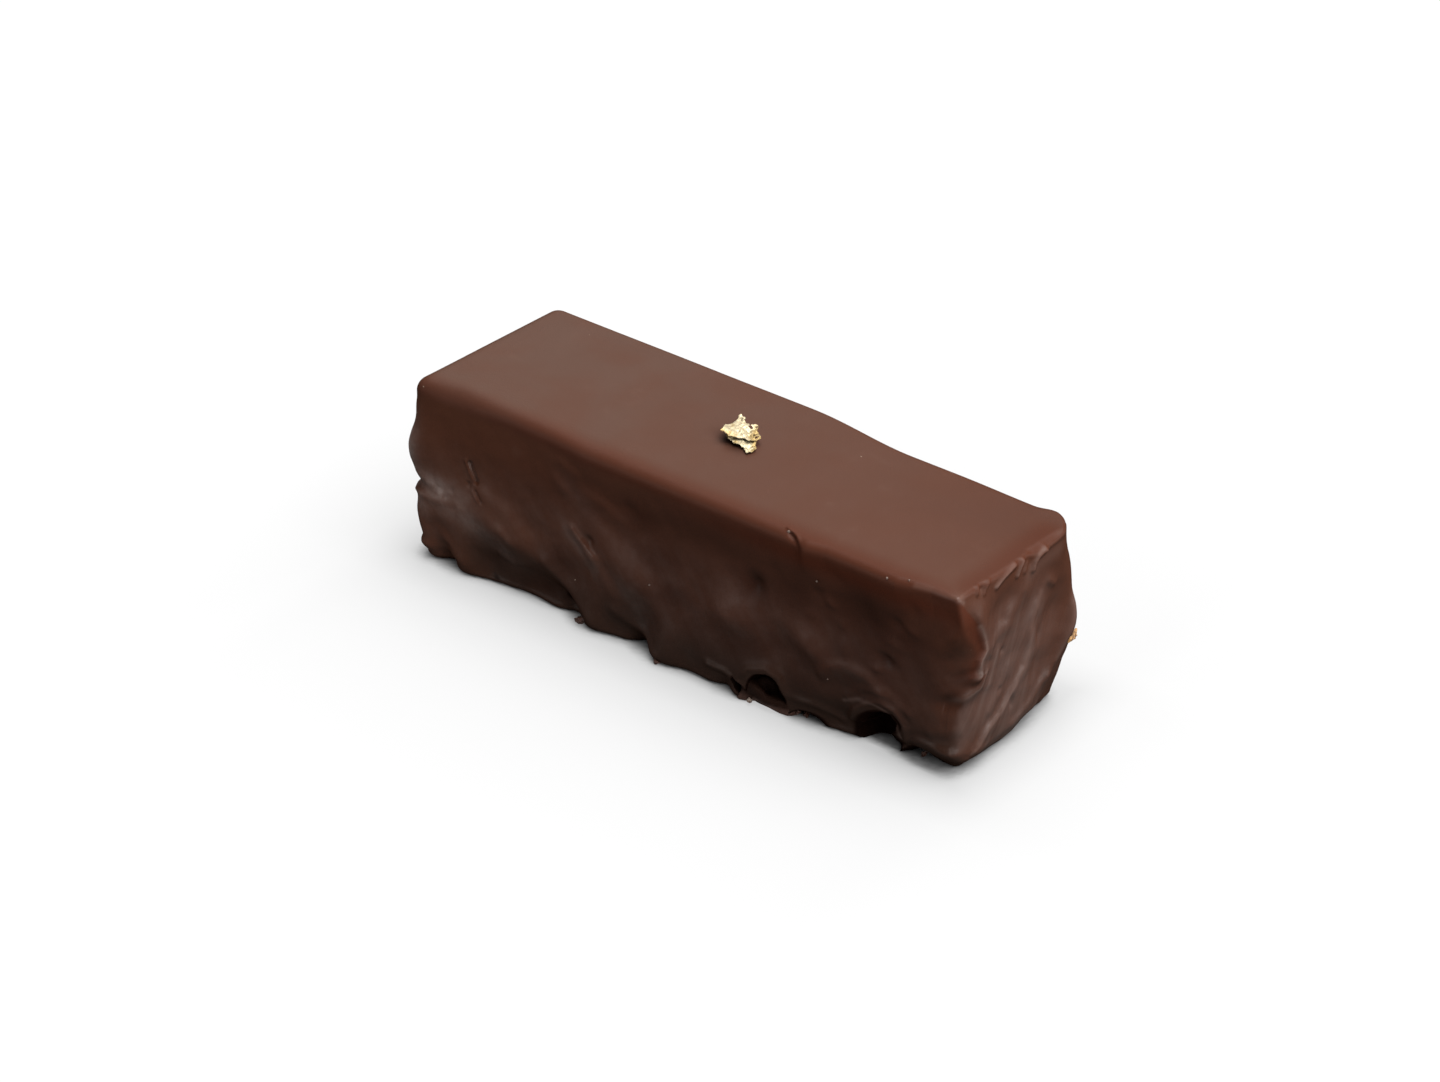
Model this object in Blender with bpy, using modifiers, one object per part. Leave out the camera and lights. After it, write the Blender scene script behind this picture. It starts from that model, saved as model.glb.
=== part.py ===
"""A rectangular pastry bar in a thick poured coat of dark chocolate, with one crumpled flake of gold leaf on top.

The bar lies along X on its flat underside, centred on the origin. Its plain long side faces -Y.
Lengths in this file are in millimetres, and become metres when a mesh is made.
"""

import math

import bmesh
import bpy
import numpy as np
from mathutils import Matrix, Vector

MM = 0.001

# the bar: half its length, half its width and its height, before feet and swells
HALF_LENGTH = 56.4
HALF_WIDTH = 17.1
HEIGHT = 34.2
CELLS_LONG = 58
CELLS_WIDE = 16
CELLS_HIGH = 20

# radii of the rounded edges
TOP_EDGE_LEFT = 4.8
TOP_EDGE_RIGHT = 2.0
TOP_EDGE_CORNER = 2.6
TOP_EDGE_FAR = 2.6
UPRIGHT_EDGE = 3.2
UPRIGHT_EDGE_NEAR_RIGHT = 5.4
BASE_EDGE = 1.3

# the left end is cut askew, and the bar is narrower on the right
SKEW = 0.085
FAR_SIDE_OUT = 1.4
FAR_SIDE_TAPER = 2.2

# moves the finished shape so that its bounding box is centred on the origin
CENTRE_X = 0.26
CENTRE_Y = -0.06

# the gold leaf
LEAF_X = -1.6
LEAF_Y = 2.7
LEAF_REACH = 4.3
LEAF_THICKNESS = 0.25
LEAF_CELLS = 10
LEAF_RISE = 0.2

# feet of coating along the near and far base: place along X, half width, how far out
NEAR_FEET = (
    (-54.0, 3.0, 1.6),
    (-45.0, 4.5, 2.2),
    (-33.0, 8.0, 1.3),
    (-18.0, 4.5, 2.2),
    (-9.0, 2.6, -0.6),
    (-1.5, 4.5, 2.2),
    (9.0, 9.0, 2.0),
    (19.0, 5.5, 2.2),
    (27.0, 3.0, 0.8),
    (35.0, 3.5, 1.2),
    (41.0, 3.0, -1.2),
    (45.5, 1.2, 1.0),
    (53.0, 4.0, -0.6),
)
FAR_FEET = ((-41.0, 6.0, 1.4), (-20.0, 7.0, 1.0), (4.0, 5.0, 1.6), (26.0, 8.0, 1.0), (44.0, 4.0, 0.8))
END_FEET = ((-9.0, 4.0, 0.9), (3.0, 3.0, -0.6), (10.0, 3.0, 0.5))

# runs of the coat on the near side: two ends as (x, z), half width, height
NEAR_RUNS = (
    ((-20.0, 16.0), (-14.0, 11.0), 2.2, 0.8),
    ((-14.0, 11.0), (-8.0, 4.0), 2.2, 0.9),
    ((-36.0, 4.6), (-28.0, 5.2), 1.8, -1.2),
    ((-28.0, 5.2), (-22.0, 3.2), 1.6, -1.4),
    ((-26.0, 25.5), (-12.0, 22.0), 2.2, 0.45),
    ((30.0, 11.5), (35.0, 13.6), 1.6, 0.45),
    ((35.0, 13.6), (41.0, 12.5), 1.6, 0.45),
    ((35.0, 6.0), (39.0, 9.2), 1.3, 0.6),
    ((39.0, 9.2), (45.0, 9.0), 1.3, 0.6),
    ((45.0, 9.0), (46.6, 3.0), 1.2, 0.6),
)
# swells and dents of the near side: centre as (x, z), half widths, height
NEAR_SWELLS = (
    ((-49.0, 9.0), (9.0, 4.2), 0.7),
    ((-10.0, 17.5), (8.0, 4.0), 0.5),
    ((11.0, 17.0), (5.0, 4.0), 0.7),
    ((16.0, 21.7), (1.8, 1.8), -0.8),
    ((-18.5, 16.3), (1.7, 1.5), -0.5),
    ((38.0, 23.0), (7.0, 5.0), -0.7),
    ((42.0, 18.0), (2.0, 1.6), -0.5),
    ((30.0, 23.5), (2.6, 3.0), 0.4),
    ((28.0, 14.0), (5.0, 4.0), 0.5),
    ((2.0, 9.0), (8.0, 3.5), 0.5),
)
# runs on the right end: two ends as (y, z), half width, height
END_RUNS = (
    ((-8.5, 29.0), (-7.0, 22.5), 1.5, 0.8),
    ((-7.0, 22.5), (-9.5, 19.0), 1.3, 0.6),
    ((-9.5, 19.0), (-8.0, 15.0), 1.4, 0.8),
    ((5.0, 20.0), (3.5, 13.0), 1.8, 0.6),
    ((3.5, 13.0), (-5.0, 4.5), 1.8, 0.7),
    ((16.0, 17.0), (9.0, 9.0), 2.0, 0.7),
    ((2.5, 33.0), (6.0, 31.5), 1.6, -0.8),
)
END_SWELLS = (
    ((11.0, 18.5), (3.0, 4.5), -0.6),
    ((-1.0, 8.0), (2.5, 2.5), 0.3),
)
# the hidden sides are finished with runs of the same kind
FAR_RUNS = (
    ((-44.0, 17.0), (-35.0, 6.0), 2.2, 0.8),
    ((-8.0, 20.0), (3.0, 7.0), 2.4, 0.7),
    ((-24.0, 5.0), (-12.0, 4.0), 1.8, -1.0),
    ((30.0, 18.0), (22.0, 6.0), 2.2, 0.7),
    ((34.0, 5.0), (43.0, 4.0), 1.8, -1.0),
)
FAR_SWELLS = (
    ((-22.0, 20.0), (7.0, 4.0), 0.6),
    ((16.0, 14.0), (6.0, 4.0), 0.5),
    ((40.0, 20.0), (6.0, 5.0), -0.5),
)
LEFT_RUNS = (
    ((6.0, 20.0), (2.0, 8.0), 2.0, 0.7),
    ((12.0, 12.0), (9.0, 5.0), 1.8, 0.6),
    ((-3.0, 14.0), (-6.0, 5.0), 1.8, 0.5),
)

# hollows under the edge of the coat: centre, half sizes, turn about Y in degrees
HOLLOWS = (
    ((18.4, -18.6, 3.3), (3.3, 4.2, 2.2), 12.0),
    ((41.0, -18.5, 5.4), (4.4, 7.0, 2.5), -26.0),
    ((43.0, -18.5, 2.2), (2.2, 4.5, 3.4), 0.0),
    ((-23.2, -19.4, 2.4), (3.4, 1.8, 1.1), 10.0),
    ((51.8, -17.0, 2.6), (2.4, 2.2, 1.1), 0.0),
    ((56.4, 4.5, 2.0), (1.6, 3.4, 0.9), 0.0),
)
HOLLOW_LUMPS = 0.06

CHOCOLATE_COLOUR = (0.085, 0.036, 0.024, 1.0)
GOLD_COLOUR = (0.92, 0.68, 0.32, 1.0)


def step(t, start, end):
    """0 before start, 1 after end, and a smooth ramp between."""
    t = np.clip((t - start) / (end - start), 0.0, 1.0)
    return t * t * (3.0 - 2.0 * t)


def bell(t, centre, half_width):
    return np.exp(-(((t - centre) / half_width) ** 2))


def blend(a, b, share):
    return a + (b - a) * share


def edge_radius(x, y, z):
    """Radius of the nearest edge: wide and soft on the near top edge at the left, crisp at the right."""
    right = step(x, -35.0, 48.0)
    corner = step(-x, 44.0, 56.0)
    near = step(-y, -6.0, 6.0)
    near_top = blend(blend(TOP_EDGE_LEFT, TOP_EDGE_RIGHT, right), TOP_EDGE_CORNER, corner)
    top = blend(TOP_EDGE_FAR, near_top, near)
    middle = blend(UPRIGHT_EDGE, UPRIGHT_EDGE_NEAR_RIGHT, right * near)
    lower = blend(BASE_EDGE, middle, step(z, 0.0, 9.0))
    return blend(lower, top, step(z, 22.0, 30.0))


def round_box(points):
    """Moves points of the plain box onto the box with rounded edges."""
    half = np.array([HALF_LENGTH, HALF_WIDTH, HEIGHT / 2])
    middle = np.array([0.0, 0.0, HEIGHT / 2])
    radius = edge_radius(*points.T)[:, None]
    away = points - middle
    inner = np.clip(away, -(half - radius), half - radius)
    outward = away - inner
    outward /= np.linalg.norm(outward, axis=1, keepdims=True)
    return middle + inner + radius * outward


def runs_and_swells(across, up, runs, swells):
    """Height of the relief of one side at each point."""
    height = np.zeros_like(across)
    for (across_a, up_a), (across_b, up_b), half_width, rise in runs:
        length_squared = (across_b - across_a) ** 2 + (up_b - up_a) ** 2
        along = (across - across_a) * (across_b - across_a) + (up - up_a) * (up_b - up_a)
        along = np.clip(along / length_squared, 0.0, 1.0)
        gap = np.hypot(across - blend(across_a, across_b, along), up - blend(up_a, up_b, along))
        height += rise * bell(gap, 0.0, half_width)
    for (centre_across, centre_up), (half_across, half_up), rise in swells:
        height += rise * bell(across, centre_across, half_across) * bell(up, centre_up, half_up)
    return height


def shape_bar(points):
    """The rounded box with its skewed end, feet, swells, runs and dents."""
    x0, y0, z0 = round_box(points).T
    x, y = x0.copy(), y0.copy()
    near, far = step(-y0, 4.0, 15.0), step(y0, 4.0, 15.0)
    left, right = step(-x0, 40.0, 55.0), step(x0, 40.0, 55.0)
    low = 1.0 - step(z0, 0.0, 7.0)

    x += (SKEW * y0 + 0.3) * step(-x0, 20.0, 55.0)
    y += far * (FAR_SIDE_OUT - FAR_SIDE_TAPER * step(x0, 2.0, 24.0) - 0.35 * step(x0, 34.0, 50.0))
    y -= near * low * sum(out * bell(x0, place, wide) for place, wide, out in NEAR_FEET)
    y += far * low * sum(out * bell(x0, place, wide) for place, wide, out in FAR_FEET)
    x += (right - left) * low * sum(out * bell(y0, place, wide) for place, wide, out in END_FEET)

    # two swells with a notch between them on the near left corner
    swell = 1.9 * bell(z0, 20.0, 6.0) + 1.2 * bell(z0, 10.0, 4.0) - 1.1 * bell(z0, 14.8, 1.6) - 1.6 * low - 0.3
    corner = step(-x0, 44.0, 55.0) * step(-y0, -8.0, 14.0)
    x -= 0.75 * swell * corner
    y -= 0.65 * swell * corner

    # the far right corner bulges above and draws in towards the base
    swell = 0.7 * bell(z0, 25.0, 6.0) + 1.3 * bell(z0, 15.5, 4.0) - 2.6 * (1.0 - step(z0, 0.0, 11.0))
    x += 0.75 * swell * right * far
    y += 0.65 * swell * right * far
    x -= right * (1.0 - step(z0, 0.0, 6.0)) * 0.3

    # relief fades out on the flat underside
    off_base = step(z0, 0.3, 2.5)
    y -= near * off_base * runs_and_swells(x0, z0, NEAR_RUNS, NEAR_SWELLS)
    x += right * off_base * runs_and_swells(y0, z0, END_RUNS, END_SWELLS)
    y += far * off_base * runs_and_swells(x0, z0, FAR_RUNS, FAR_SWELLS)
    x -= left * off_base * runs_and_swells(y0, z0, LEFT_RUNS, ())
    return np.stack([x + CENTRE_X, y + CENTRE_Y, z0], axis=-1)


def stations(half, cells):
    """Places of the cuts from -half to half, closer together towards the edges."""
    places = []
    for i in range(1, cells):
        t = 2.0 * i / cells - 1.0
        places.append(half * (0.55 * t + 0.45 * math.sin(t * math.pi / 2)))
    return places


def collection(name):
    made = bpy.data.collections.new(name)
    bpy.context.scene.collection.children.link(made)
    return made


def material(name, colour, roughness, metallic):
    made = bpy.data.materials.new(name)
    made.use_nodes = True
    made.diffuse_color = colour
    shader = made.node_tree.nodes["Principled BSDF"]
    shader.inputs["Base Color"].default_value = colour
    shader.inputs["Roughness"].default_value = roughness
    shader.inputs["Metallic"].default_value = metallic
    return made


def add_object(name, mesh_builder, group, look=None):
    mesh = bpy.data.meshes.new(name)
    mesh_builder.to_mesh(mesh)
    mesh_builder.free()
    made = bpy.data.objects.new(name, mesh)
    group.objects.link(made)
    if look is not None:
        mesh.materials.append(look)
    return made


def make_bar(group, look):
    builder = bmesh.new()
    bmesh.ops.create_cube(builder, size=1.0)
    bmesh.ops.scale(builder, vec=(2 * HALF_LENGTH, 2 * HALF_WIDTH, HEIGHT), verts=builder.verts)
    bmesh.ops.translate(builder, vec=(0.0, 0.0, HEIGHT / 2), verts=builder.verts)
    cuts = (
        (Vector((1, 0, 0)), HALF_LENGTH, CELLS_LONG, 0.0),
        (Vector((0, 1, 0)), HALF_WIDTH, CELLS_WIDE, 0.0),
        (Vector((0, 0, 1)), HEIGHT / 2, CELLS_HIGH, HEIGHT / 2),
    )
    for axis, half, cells, middle in cuts:
        for place in stations(half, cells):
            everything = builder.verts[:] + builder.edges[:] + builder.faces[:]
            bmesh.ops.bisect_plane(builder, geom=everything, plane_co=axis * (place + middle), plane_no=axis)
    before = np.array([vert.co for vert in builder.verts], dtype=float)
    for vert, place in zip(builder.verts, shape_bar(before)):
        vert.co = Vector(place) * MM
    bmesh.ops.recalc_face_normals(builder, faces=builder.faces)
    return add_object("coated_bar", builder, group, look)


def cut_hollows(bar, group):
    """Cuts the lumpy hollows that show where the coat stands clear of the base."""
    for number, (centre, half_sizes, turn) in enumerate(HOLLOWS, start=1):
        builder = bmesh.new()
        bmesh.ops.create_icosphere(builder, subdivisions=3, radius=1.0)
        for vert in builder.verts:
            a, b, c = vert.co * 3.0
            lumps = math.sin(a * 1.3 + number) * math.sin(b * 1.7 + 2 * number) * math.cos(c * 1.5 - number)
            vert.co *= 1.0 + HOLLOW_LUMPS * 2.0 * lumps
        place = Matrix.Translation(Vector(centre) + Vector((CENTRE_X, CENTRE_Y, 0.0)))
        turned = Matrix.Rotation(math.radians(turn), 4, "Y")
        sized = Matrix.Diagonal((*half_sizes, 1.0))
        bmesh.ops.transform(builder, matrix=Matrix.Scale(MM, 4) @ place @ turned @ sized, verts=builder.verts)
        cutter = add_object(f"hollow_cutter_{number}", builder, group)
        cutter.hide_render = True
        cutter.display_type = "WIRE"
        cut = bar.modifiers.new(f"hollow_{number}", "BOOLEAN")
        cut.operation = "DIFFERENCE"
        cut.solver = "EXACT"
        cut.object = cutter


def make_leaf(group, look):
    """A torn square of leaf, creased and lifted at one corner, thickened into a thin solid."""
    builder = bmesh.new()
    bmesh.ops.create_grid(builder, x_segments=LEAF_CELLS, y_segments=LEAF_CELLS, size=1.0)
    for vert in builder.verts:
        u, v = vert.co.x, vert.co.y
        angle = math.atan2(v, u)
        torn = 1.0 + 0.10 * math.sin(3 * angle + 0.6) + 0.07 * math.sin(5 * angle + 2.0) + 0.04 * math.sin(8 * angle)
        # a square pulled part of the way to a disc, so that the corners stay as points
        reach = LEAF_REACH * torn * (1.0 - 0.18 * (u * v) ** 2)
        x = reach * (0.92 * u + 0.16 * v)
        y = reach * (0.86 * v - 0.46 * u)
        creases = abs(math.sin(1.1 * x + 0.7 * y + 0.5)) * 0.55 + abs(math.sin(0.9 * y - 0.6 * x + 0.2)) * 0.45
        lift = LEAF_RISE + creases + 0.16 * max(0.0, y) - 0.04 * min(0.0, x)
        vert.co = Vector((x + LEAF_X + CENTRE_X, y + LEAF_Y + CENTRE_Y, HEIGHT + lift)) * MM
    leaf = add_object("gold_leaf", builder, group, look)
    leaf.modifiers.new("triangles", "TRIANGULATE").quad_method = "FIXED"
    thicken = leaf.modifiers.new("thickness", "SOLIDIFY")
    thicken.thickness = LEAF_THICKNESS * MM
    thicken.offset = 1.0
    return leaf


def main():
    for old in list(bpy.data.objects):
        bpy.data.objects.remove(old, do_unlink=True)
    parts = collection("coated_cookie_bar")
    cutters = collection("cutters")
    bar = make_bar(parts, material("dark_chocolate", CHOCOLATE_COLOUR, 0.4, 0.0))
    cut_hollows(bar, cutters)
    make_leaf(parts, material("gold", GOLD_COLOUR, 0.3, 1.0))


main()
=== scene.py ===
import math

import bmesh
import bpy
import numpy as np
from mathutils import Matrix, Vector
from mathutils.bvhtree import BVHTree


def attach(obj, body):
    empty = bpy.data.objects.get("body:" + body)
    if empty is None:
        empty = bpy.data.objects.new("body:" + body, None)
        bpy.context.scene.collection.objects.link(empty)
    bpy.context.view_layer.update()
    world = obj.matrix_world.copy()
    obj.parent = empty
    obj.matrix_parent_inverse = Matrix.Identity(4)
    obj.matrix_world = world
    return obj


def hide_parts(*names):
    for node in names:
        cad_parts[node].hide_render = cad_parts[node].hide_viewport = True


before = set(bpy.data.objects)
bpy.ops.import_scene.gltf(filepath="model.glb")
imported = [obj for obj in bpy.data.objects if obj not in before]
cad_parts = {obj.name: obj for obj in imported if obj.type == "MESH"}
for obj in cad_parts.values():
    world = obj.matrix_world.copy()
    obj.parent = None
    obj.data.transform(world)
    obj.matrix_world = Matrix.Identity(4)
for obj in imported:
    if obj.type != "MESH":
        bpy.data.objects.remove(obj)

# The chocolate coated bar and its gold leaf, dressed over the plain solids.
# Lengths are in millimetres, and become metres when a mesh is made. The finishes are in metres.

MM = 0.001
HALF_LENGTH = 56.4
HALF_WIDTH = 17.1
HEIGHT = 34.2
CENTRE_X = 0.26
CENTRE_Y = -0.06
CENTRE = np.array([CENTRE_X, CENTRE_Y, 0.0])

# cells of the fine mesh along the three directions
CELLS_LONG = 226
CELLS_WIDE = 64
CELLS_HIGH = 78
# parts of the near side, the right end and the top with cells of half that size, from and to
FINE_NEAR = (
    (-46.5, -39.5, 14.5, 23),
    (-22.5, -16, 13.5, 18.5),
    (-42, -15, 0, 8.5),
    (7, 24, 0, 7.5),
    (26, 56.4, 0, 10.5),
    (50, 56.4, 10.5, 34.2),
    (12, 50, 32, 34.2),
)
FINE_END = ((-17.1, 9.5, 0, 34.2), (9.5, 17.1, 31, 34.2))
FINE_TOP = ((12, 56.4, -17.1, -15.2), (53, 56.4, -15.2, 17.1))
# how far in from its edges the flat base is a single face
BASE_RING = 3.0


def step(t, start, end):
    """0 before start, 1 after end, and a smooth ramp between."""
    t = np.clip((t - start) / (end - start), 0.0, 1.0)
    return t * t * (3.0 - 2.0 * t)


def fall(t, start, end):
    """1 before start, 0 after end, and a smooth ramp between."""
    return 1.0 - step(t, start, end)


def bell(t, centre, half_width):
    return np.exp(-(((t - centre) / half_width) ** 2))


def blend(a, b, share):
    return a + (b - a) * share


def read_off(t, places):
    """The value at t of a row of places and values, in a straight line from each to the next."""
    return np.interp(t, *zip(*places))


def swells(t, rows):
    """How far a row of swells stands out at t. A row has place, half width and how far out."""
    return sum(out * bell(t, place, wide) for place, wide, out in rows)


def ripple(points, size, seed):
    """Smooth uneven noise of about -1 to 1 whose bumps are size millimetres apart."""
    draw = np.random.default_rng(seed)
    total = np.zeros(len(points))
    for _ in range(40):
        way = draw.normal(size=3)
        way *= draw.uniform(0.5, 1.6) / np.linalg.norm(way)
        total += np.sin(points @ way * (2 * math.pi / size) + draw.uniform(0, 2 * math.pi))
    return total / math.sqrt(40)


def turn_about_y(degrees):
    return np.array(Matrix.Rotation(math.radians(degrees), 3, "Y"))


def from_centre(points):
    """The x, y and z of points, counted from the middle of the bar."""
    return (points - CENTRE).T


# The form of the bar

# radius of the near top edge at places along it
NEAR_TOP_EDGE = (
    (-56, 4.4), (-44, 3), (-36, 2.3), (-18, 2.2), (5, 2.1), (30, 1.7), (46, 1.6), (52, 1.1), (56, 0.7),
)
TOP_EDGE_CORNER = 2.6
TOP_EDGE_FAR = 2.6
TOP_EDGE_END = 0.9
FAR_CORNER = 6.2
UPRIGHT_EDGE = 3.2
UPRIGHT_EDGE_NEAR_RIGHT = 5.4
BASE_EDGE = 1.1
SKEW = 0.085
FAR_SIDE_OUT = 1.4
FAR_SIDE_TAPER = 2.2

# how far in the top edge of the right end lies, at places across it
END_TOP_IN = ((-17, 1.3), (-14, 1.2), (-11, 1), (-8, 0.7), (-5, 0.45), (-1, 0.4), (4, 0), (12, -0.2))
# how far in the near top edge lies, at places along it
NEAR_TOP_IN = (
    (-56, 0), (-48, 0.9), (-36, 1), (-27, 0.7), (-20, 0), (24, 0), (26.5, -0.6), (30, 0), (44, 0),
    (51, 1.3), (57, 1.3),
)
# how far in the base of the right end lies, at places across it
END_BASE_IN = (
    (-17, 2), (-12, 1.4), (-9.4, 1.2), (-5, 1), (-2, 0.8), (0.8, 0.9), (2.4, 1.2), (4.4, 1.9),
    (6.5, 1.7), (9.6, 0.9), (13, 0), (17, 0.2),
)

# feet of coating along the base: place, half width, how far out
NEAR_FEET = (
    (-54, 3.4, 3),
    (-45, 4, 1.7),
    (-30, 7, -0.3),
    (-17.5, 4, 1.6),
    (-10.5, 2.4, 0.1),
    (-1.8, 3.6, 2.3),
    (9, 8, 1.4),
    (19.5, 5, 1.8),
    (27, 3, 0.3),
    (34, 3.4, -1.1),
    (41, 3, -1),
    (46.2, 2, -0.9),
)
FAR_FEET = ((-41, 6, 1.4), (-20, 7, 1), (4, 5, 1.6), (26, 8, 1), (44, 4, 0.8))
# places where only the lowest edge is drawn in
NEAR_TUCKS = (
    (-49.5, 2.5, -0.8),
    (-32, 4.5, -0.6),
    (-22.2, 2.4, -1.6),
    (-7.4, 2, -2.4),
    (10.8, 1.6, -1),
    (14, 2, 0.6),
    (27.4, 2.6, -0.5),
    (37.2, 2.2, -0.8),
    (42.6, 1.6, 0.6),
    (45.6, 1.6, -0.7),
    (48.6, 2.6, -1.6),
)
# how far the near side stands out at heights up it: hollow under the top edge, full half way down
# and drawn in at the foot
NEAR_PROFILE = ((24, 5.5, -0.3), (11, 5, 0.25), (2.6, 2.6, -0.35))
# two swells with a notch between them on the near left corner
LEFT_CORNER_SWELLS = (
    (20.6, 5.2, 2.35), (9.8, 3.2, 0.45), (14.6, 1.3, -0.65), (12.9, 0.6, 0.45), (3, 0.8, 0.9),
)
FAR_CORNER_SWELLS = ((25, 6, 0.7), (15.5, 4, 1.3))


def edge_radius(x, y, z):
    """Radius of the nearest edge: wide and soft on the near top edge at the left, crisp at the right."""
    right = step(x, -35, 48)
    corner = step(-x, 44, 56)
    near = step(-y, -6, 6)
    near_top = blend(read_off(x, NEAR_TOP_EDGE), TOP_EDGE_CORNER, corner)
    top = blend(TOP_EDGE_FAR, near_top, near)
    top = blend(top, TOP_EDGE_END, step(x, 48, 53) * step(y, -15, -12))
    middle = blend(UPRIGHT_EDGE, UPRIGHT_EDGE_NEAR_RIGHT, right * near)
    lower = blend(BASE_EDGE, middle, step(z, 0, 9))
    return blend(lower, top, step(z, 22, 30))


def round_box(points):
    half = np.array([HALF_LENGTH, HALF_WIDTH, HEIGHT / 2])
    middle = np.array([0.0, 0.0, HEIGHT / 2])
    radius = edge_radius(*points.T)[:, None]
    away = points - middle
    inner = np.clip(away, -(half - radius), half - radius)
    outward = away - inner
    outward /= np.linalg.norm(outward, axis=1, keepdims=True)
    return middle + inner + radius * outward


def run(across, up, path, rise, above, below, fade=0.0):
    """A run of the coat along a path: a crest with a slope of its own width on each side.

    Above is the side to the left of the path's direction. Fade is the length over which the run
    rises from nothing at the path's start.
    """
    nearest = np.full(len(across), 1e9)
    side = np.zeros(len(across))
    gone = np.zeros(len(across))
    start = 0.0
    for (a, b), (c, d) in zip(path, path[1:]):
        length = math.hypot(c - a, d - b)
        along = ((across - a) * (c - a) + (up - b) * (d - b)) / length**2
        along = np.clip(along, 0.0, 1.0)
        gap_across = across - blend(a, c, along)
        gap_up = up - blend(b, d, along)
        gap = np.hypot(gap_across, gap_up)
        turn = ((c - a) * gap_up - (d - b) * gap_across) / (length * (gap + 0.001))
        closer = gap < nearest
        nearest[closer] = gap[closer]
        side[closer] = turn[closer]
        gone[closer] = (start + along * length)[closer]
        start += length
    wide = blend(below, above, 0.5 + 0.5 * side)
    shape = rise * np.exp(-((nearest / wide) ** 2))
    return shape * step(gone, 0, fade) if fade else shape


def dent(across, up, centre, size, rise, turn=0.0):
    """A swell, or with a negative rise a dent: an oval that can be turned, in degrees."""
    a, b = across - centre[0], up - centre[1]
    c, s = math.cos(math.radians(turn)), math.sin(math.radians(turn))
    return rise * np.exp(-(((a * c + b * s) / size[0]) ** 2) - ((b * c - a * s) / size[1]) ** 2)


# the long side that the camera sees: places along it from the middle, and up from the base
# swells and, with a negative rise, dents: place, half sizes, rise, and a turn in degrees
NEAR_SWELLS = (
    # the lobe low on the left and the lit slope above it
    ((-51, 11.5), (6.5, 4), 1.1, -6),
    ((-54.5, 19), (5, 3), -0.3),
    ((-40.5, 4.6), (3.6, 3.2), -0.75, 20),
    # a tongue that comes down from the lobe, and the deep place to its right
    ((-37, 11.4), (7, 2.6), 0.95, -22),
    ((-29, 4.4), (6.4, 2.6), -0.75, -10),
    ((-23.6, 3.2), (2.8, 1.2), -0.9, -30),
    ((-29, 13.5), (4, 3), -0.45, -30),
    ((-21.5, 9), (3.6, 3), -0.45, -34),
    # a small crater
    ((-18, 17.2), (1.1, 0.9), -0.45),
    # the broad sag across the middle
    ((-10.5, 14.2), (8, 3.2), 0.9, -34),
    ((-5, 7.2), (4.6, 3), -0.6, -30),
    ((-10, 26.4), (1.6, 1.3), -0.26),
    ((-3.5, 24), (5, 3.6), -0.35, -35),
    # the broad swell in the middle and the dent beside it
    ((11.4, 14.8), (4.6, 3.6), 1.2, 8),
    ((3, 13), (5, 4), -0.3),
    ((16.6, 21.9), (1.7, 2), -0.85),
    ((16.4, 22.2), (0.7, 0.7), -0.25),
    ((22, 12.4), (2.6, 4.4), -0.55, -10),
    ((27.4, 15.6), (5.4, 2.8), 1.05, -24),
    ((34.6, 17.6), (2.6, 2.2), 0.45),
    ((5, 26), (6, 3.6), -0.25, 10),
    # lumps and shallow dents on the right
    ((29, 25.4), (1.2, 1), -0.36),
    ((31.5, 24.6), (1.4, 0.7), 0.32, -25),
    ((34, 21.6), (1.2, 0.8), 0.32, -30),
    ((27.6, 21), (1.4, 0.9), 0.22),
    ((37.6, 25), (2.8, 4.4), -0.62, 12),
    ((32, 30), (2.2, 1.3), -0.25, -20),
    ((44.4, 26), (1.3, 0.9), -0.4, -15),
    ((47, 25.8), (2, 0.8), 0.26, -20),
    ((43.8, 22), (2.2, 0.9), 0.24, -10),
    ((42.6, 18.4), (1.8, 0.9), -0.62, -14),
    ((41, 16.2), (1, 0.5), 0.34),
    ((47.6, 29.4), (1.6, 1.2), -0.3, -40),
    ((51, 22), (3.4, 5), 0.35),
    ((54.2, 14.6), (1.7, 1.4), -0.7, 20),
    ((56.2, 19.4), (1.6, 1.2), -0.4),
    ((55.9, 19.2), (1, 0.9), -0.45),
    ((50.4, 7.4), (3.4, 1.4), -0.35, -6),
    # the deep places round the hollows
    ((36.6, 10), (4.2, 2.2), -0.6, 8),
    ((30.4, 6.8), (4, 1.9), 0.3),
)
SCRATCH = ((-44.3, 22.2), (-43.7, 20.8), (-42.8, 19.2))
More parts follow.
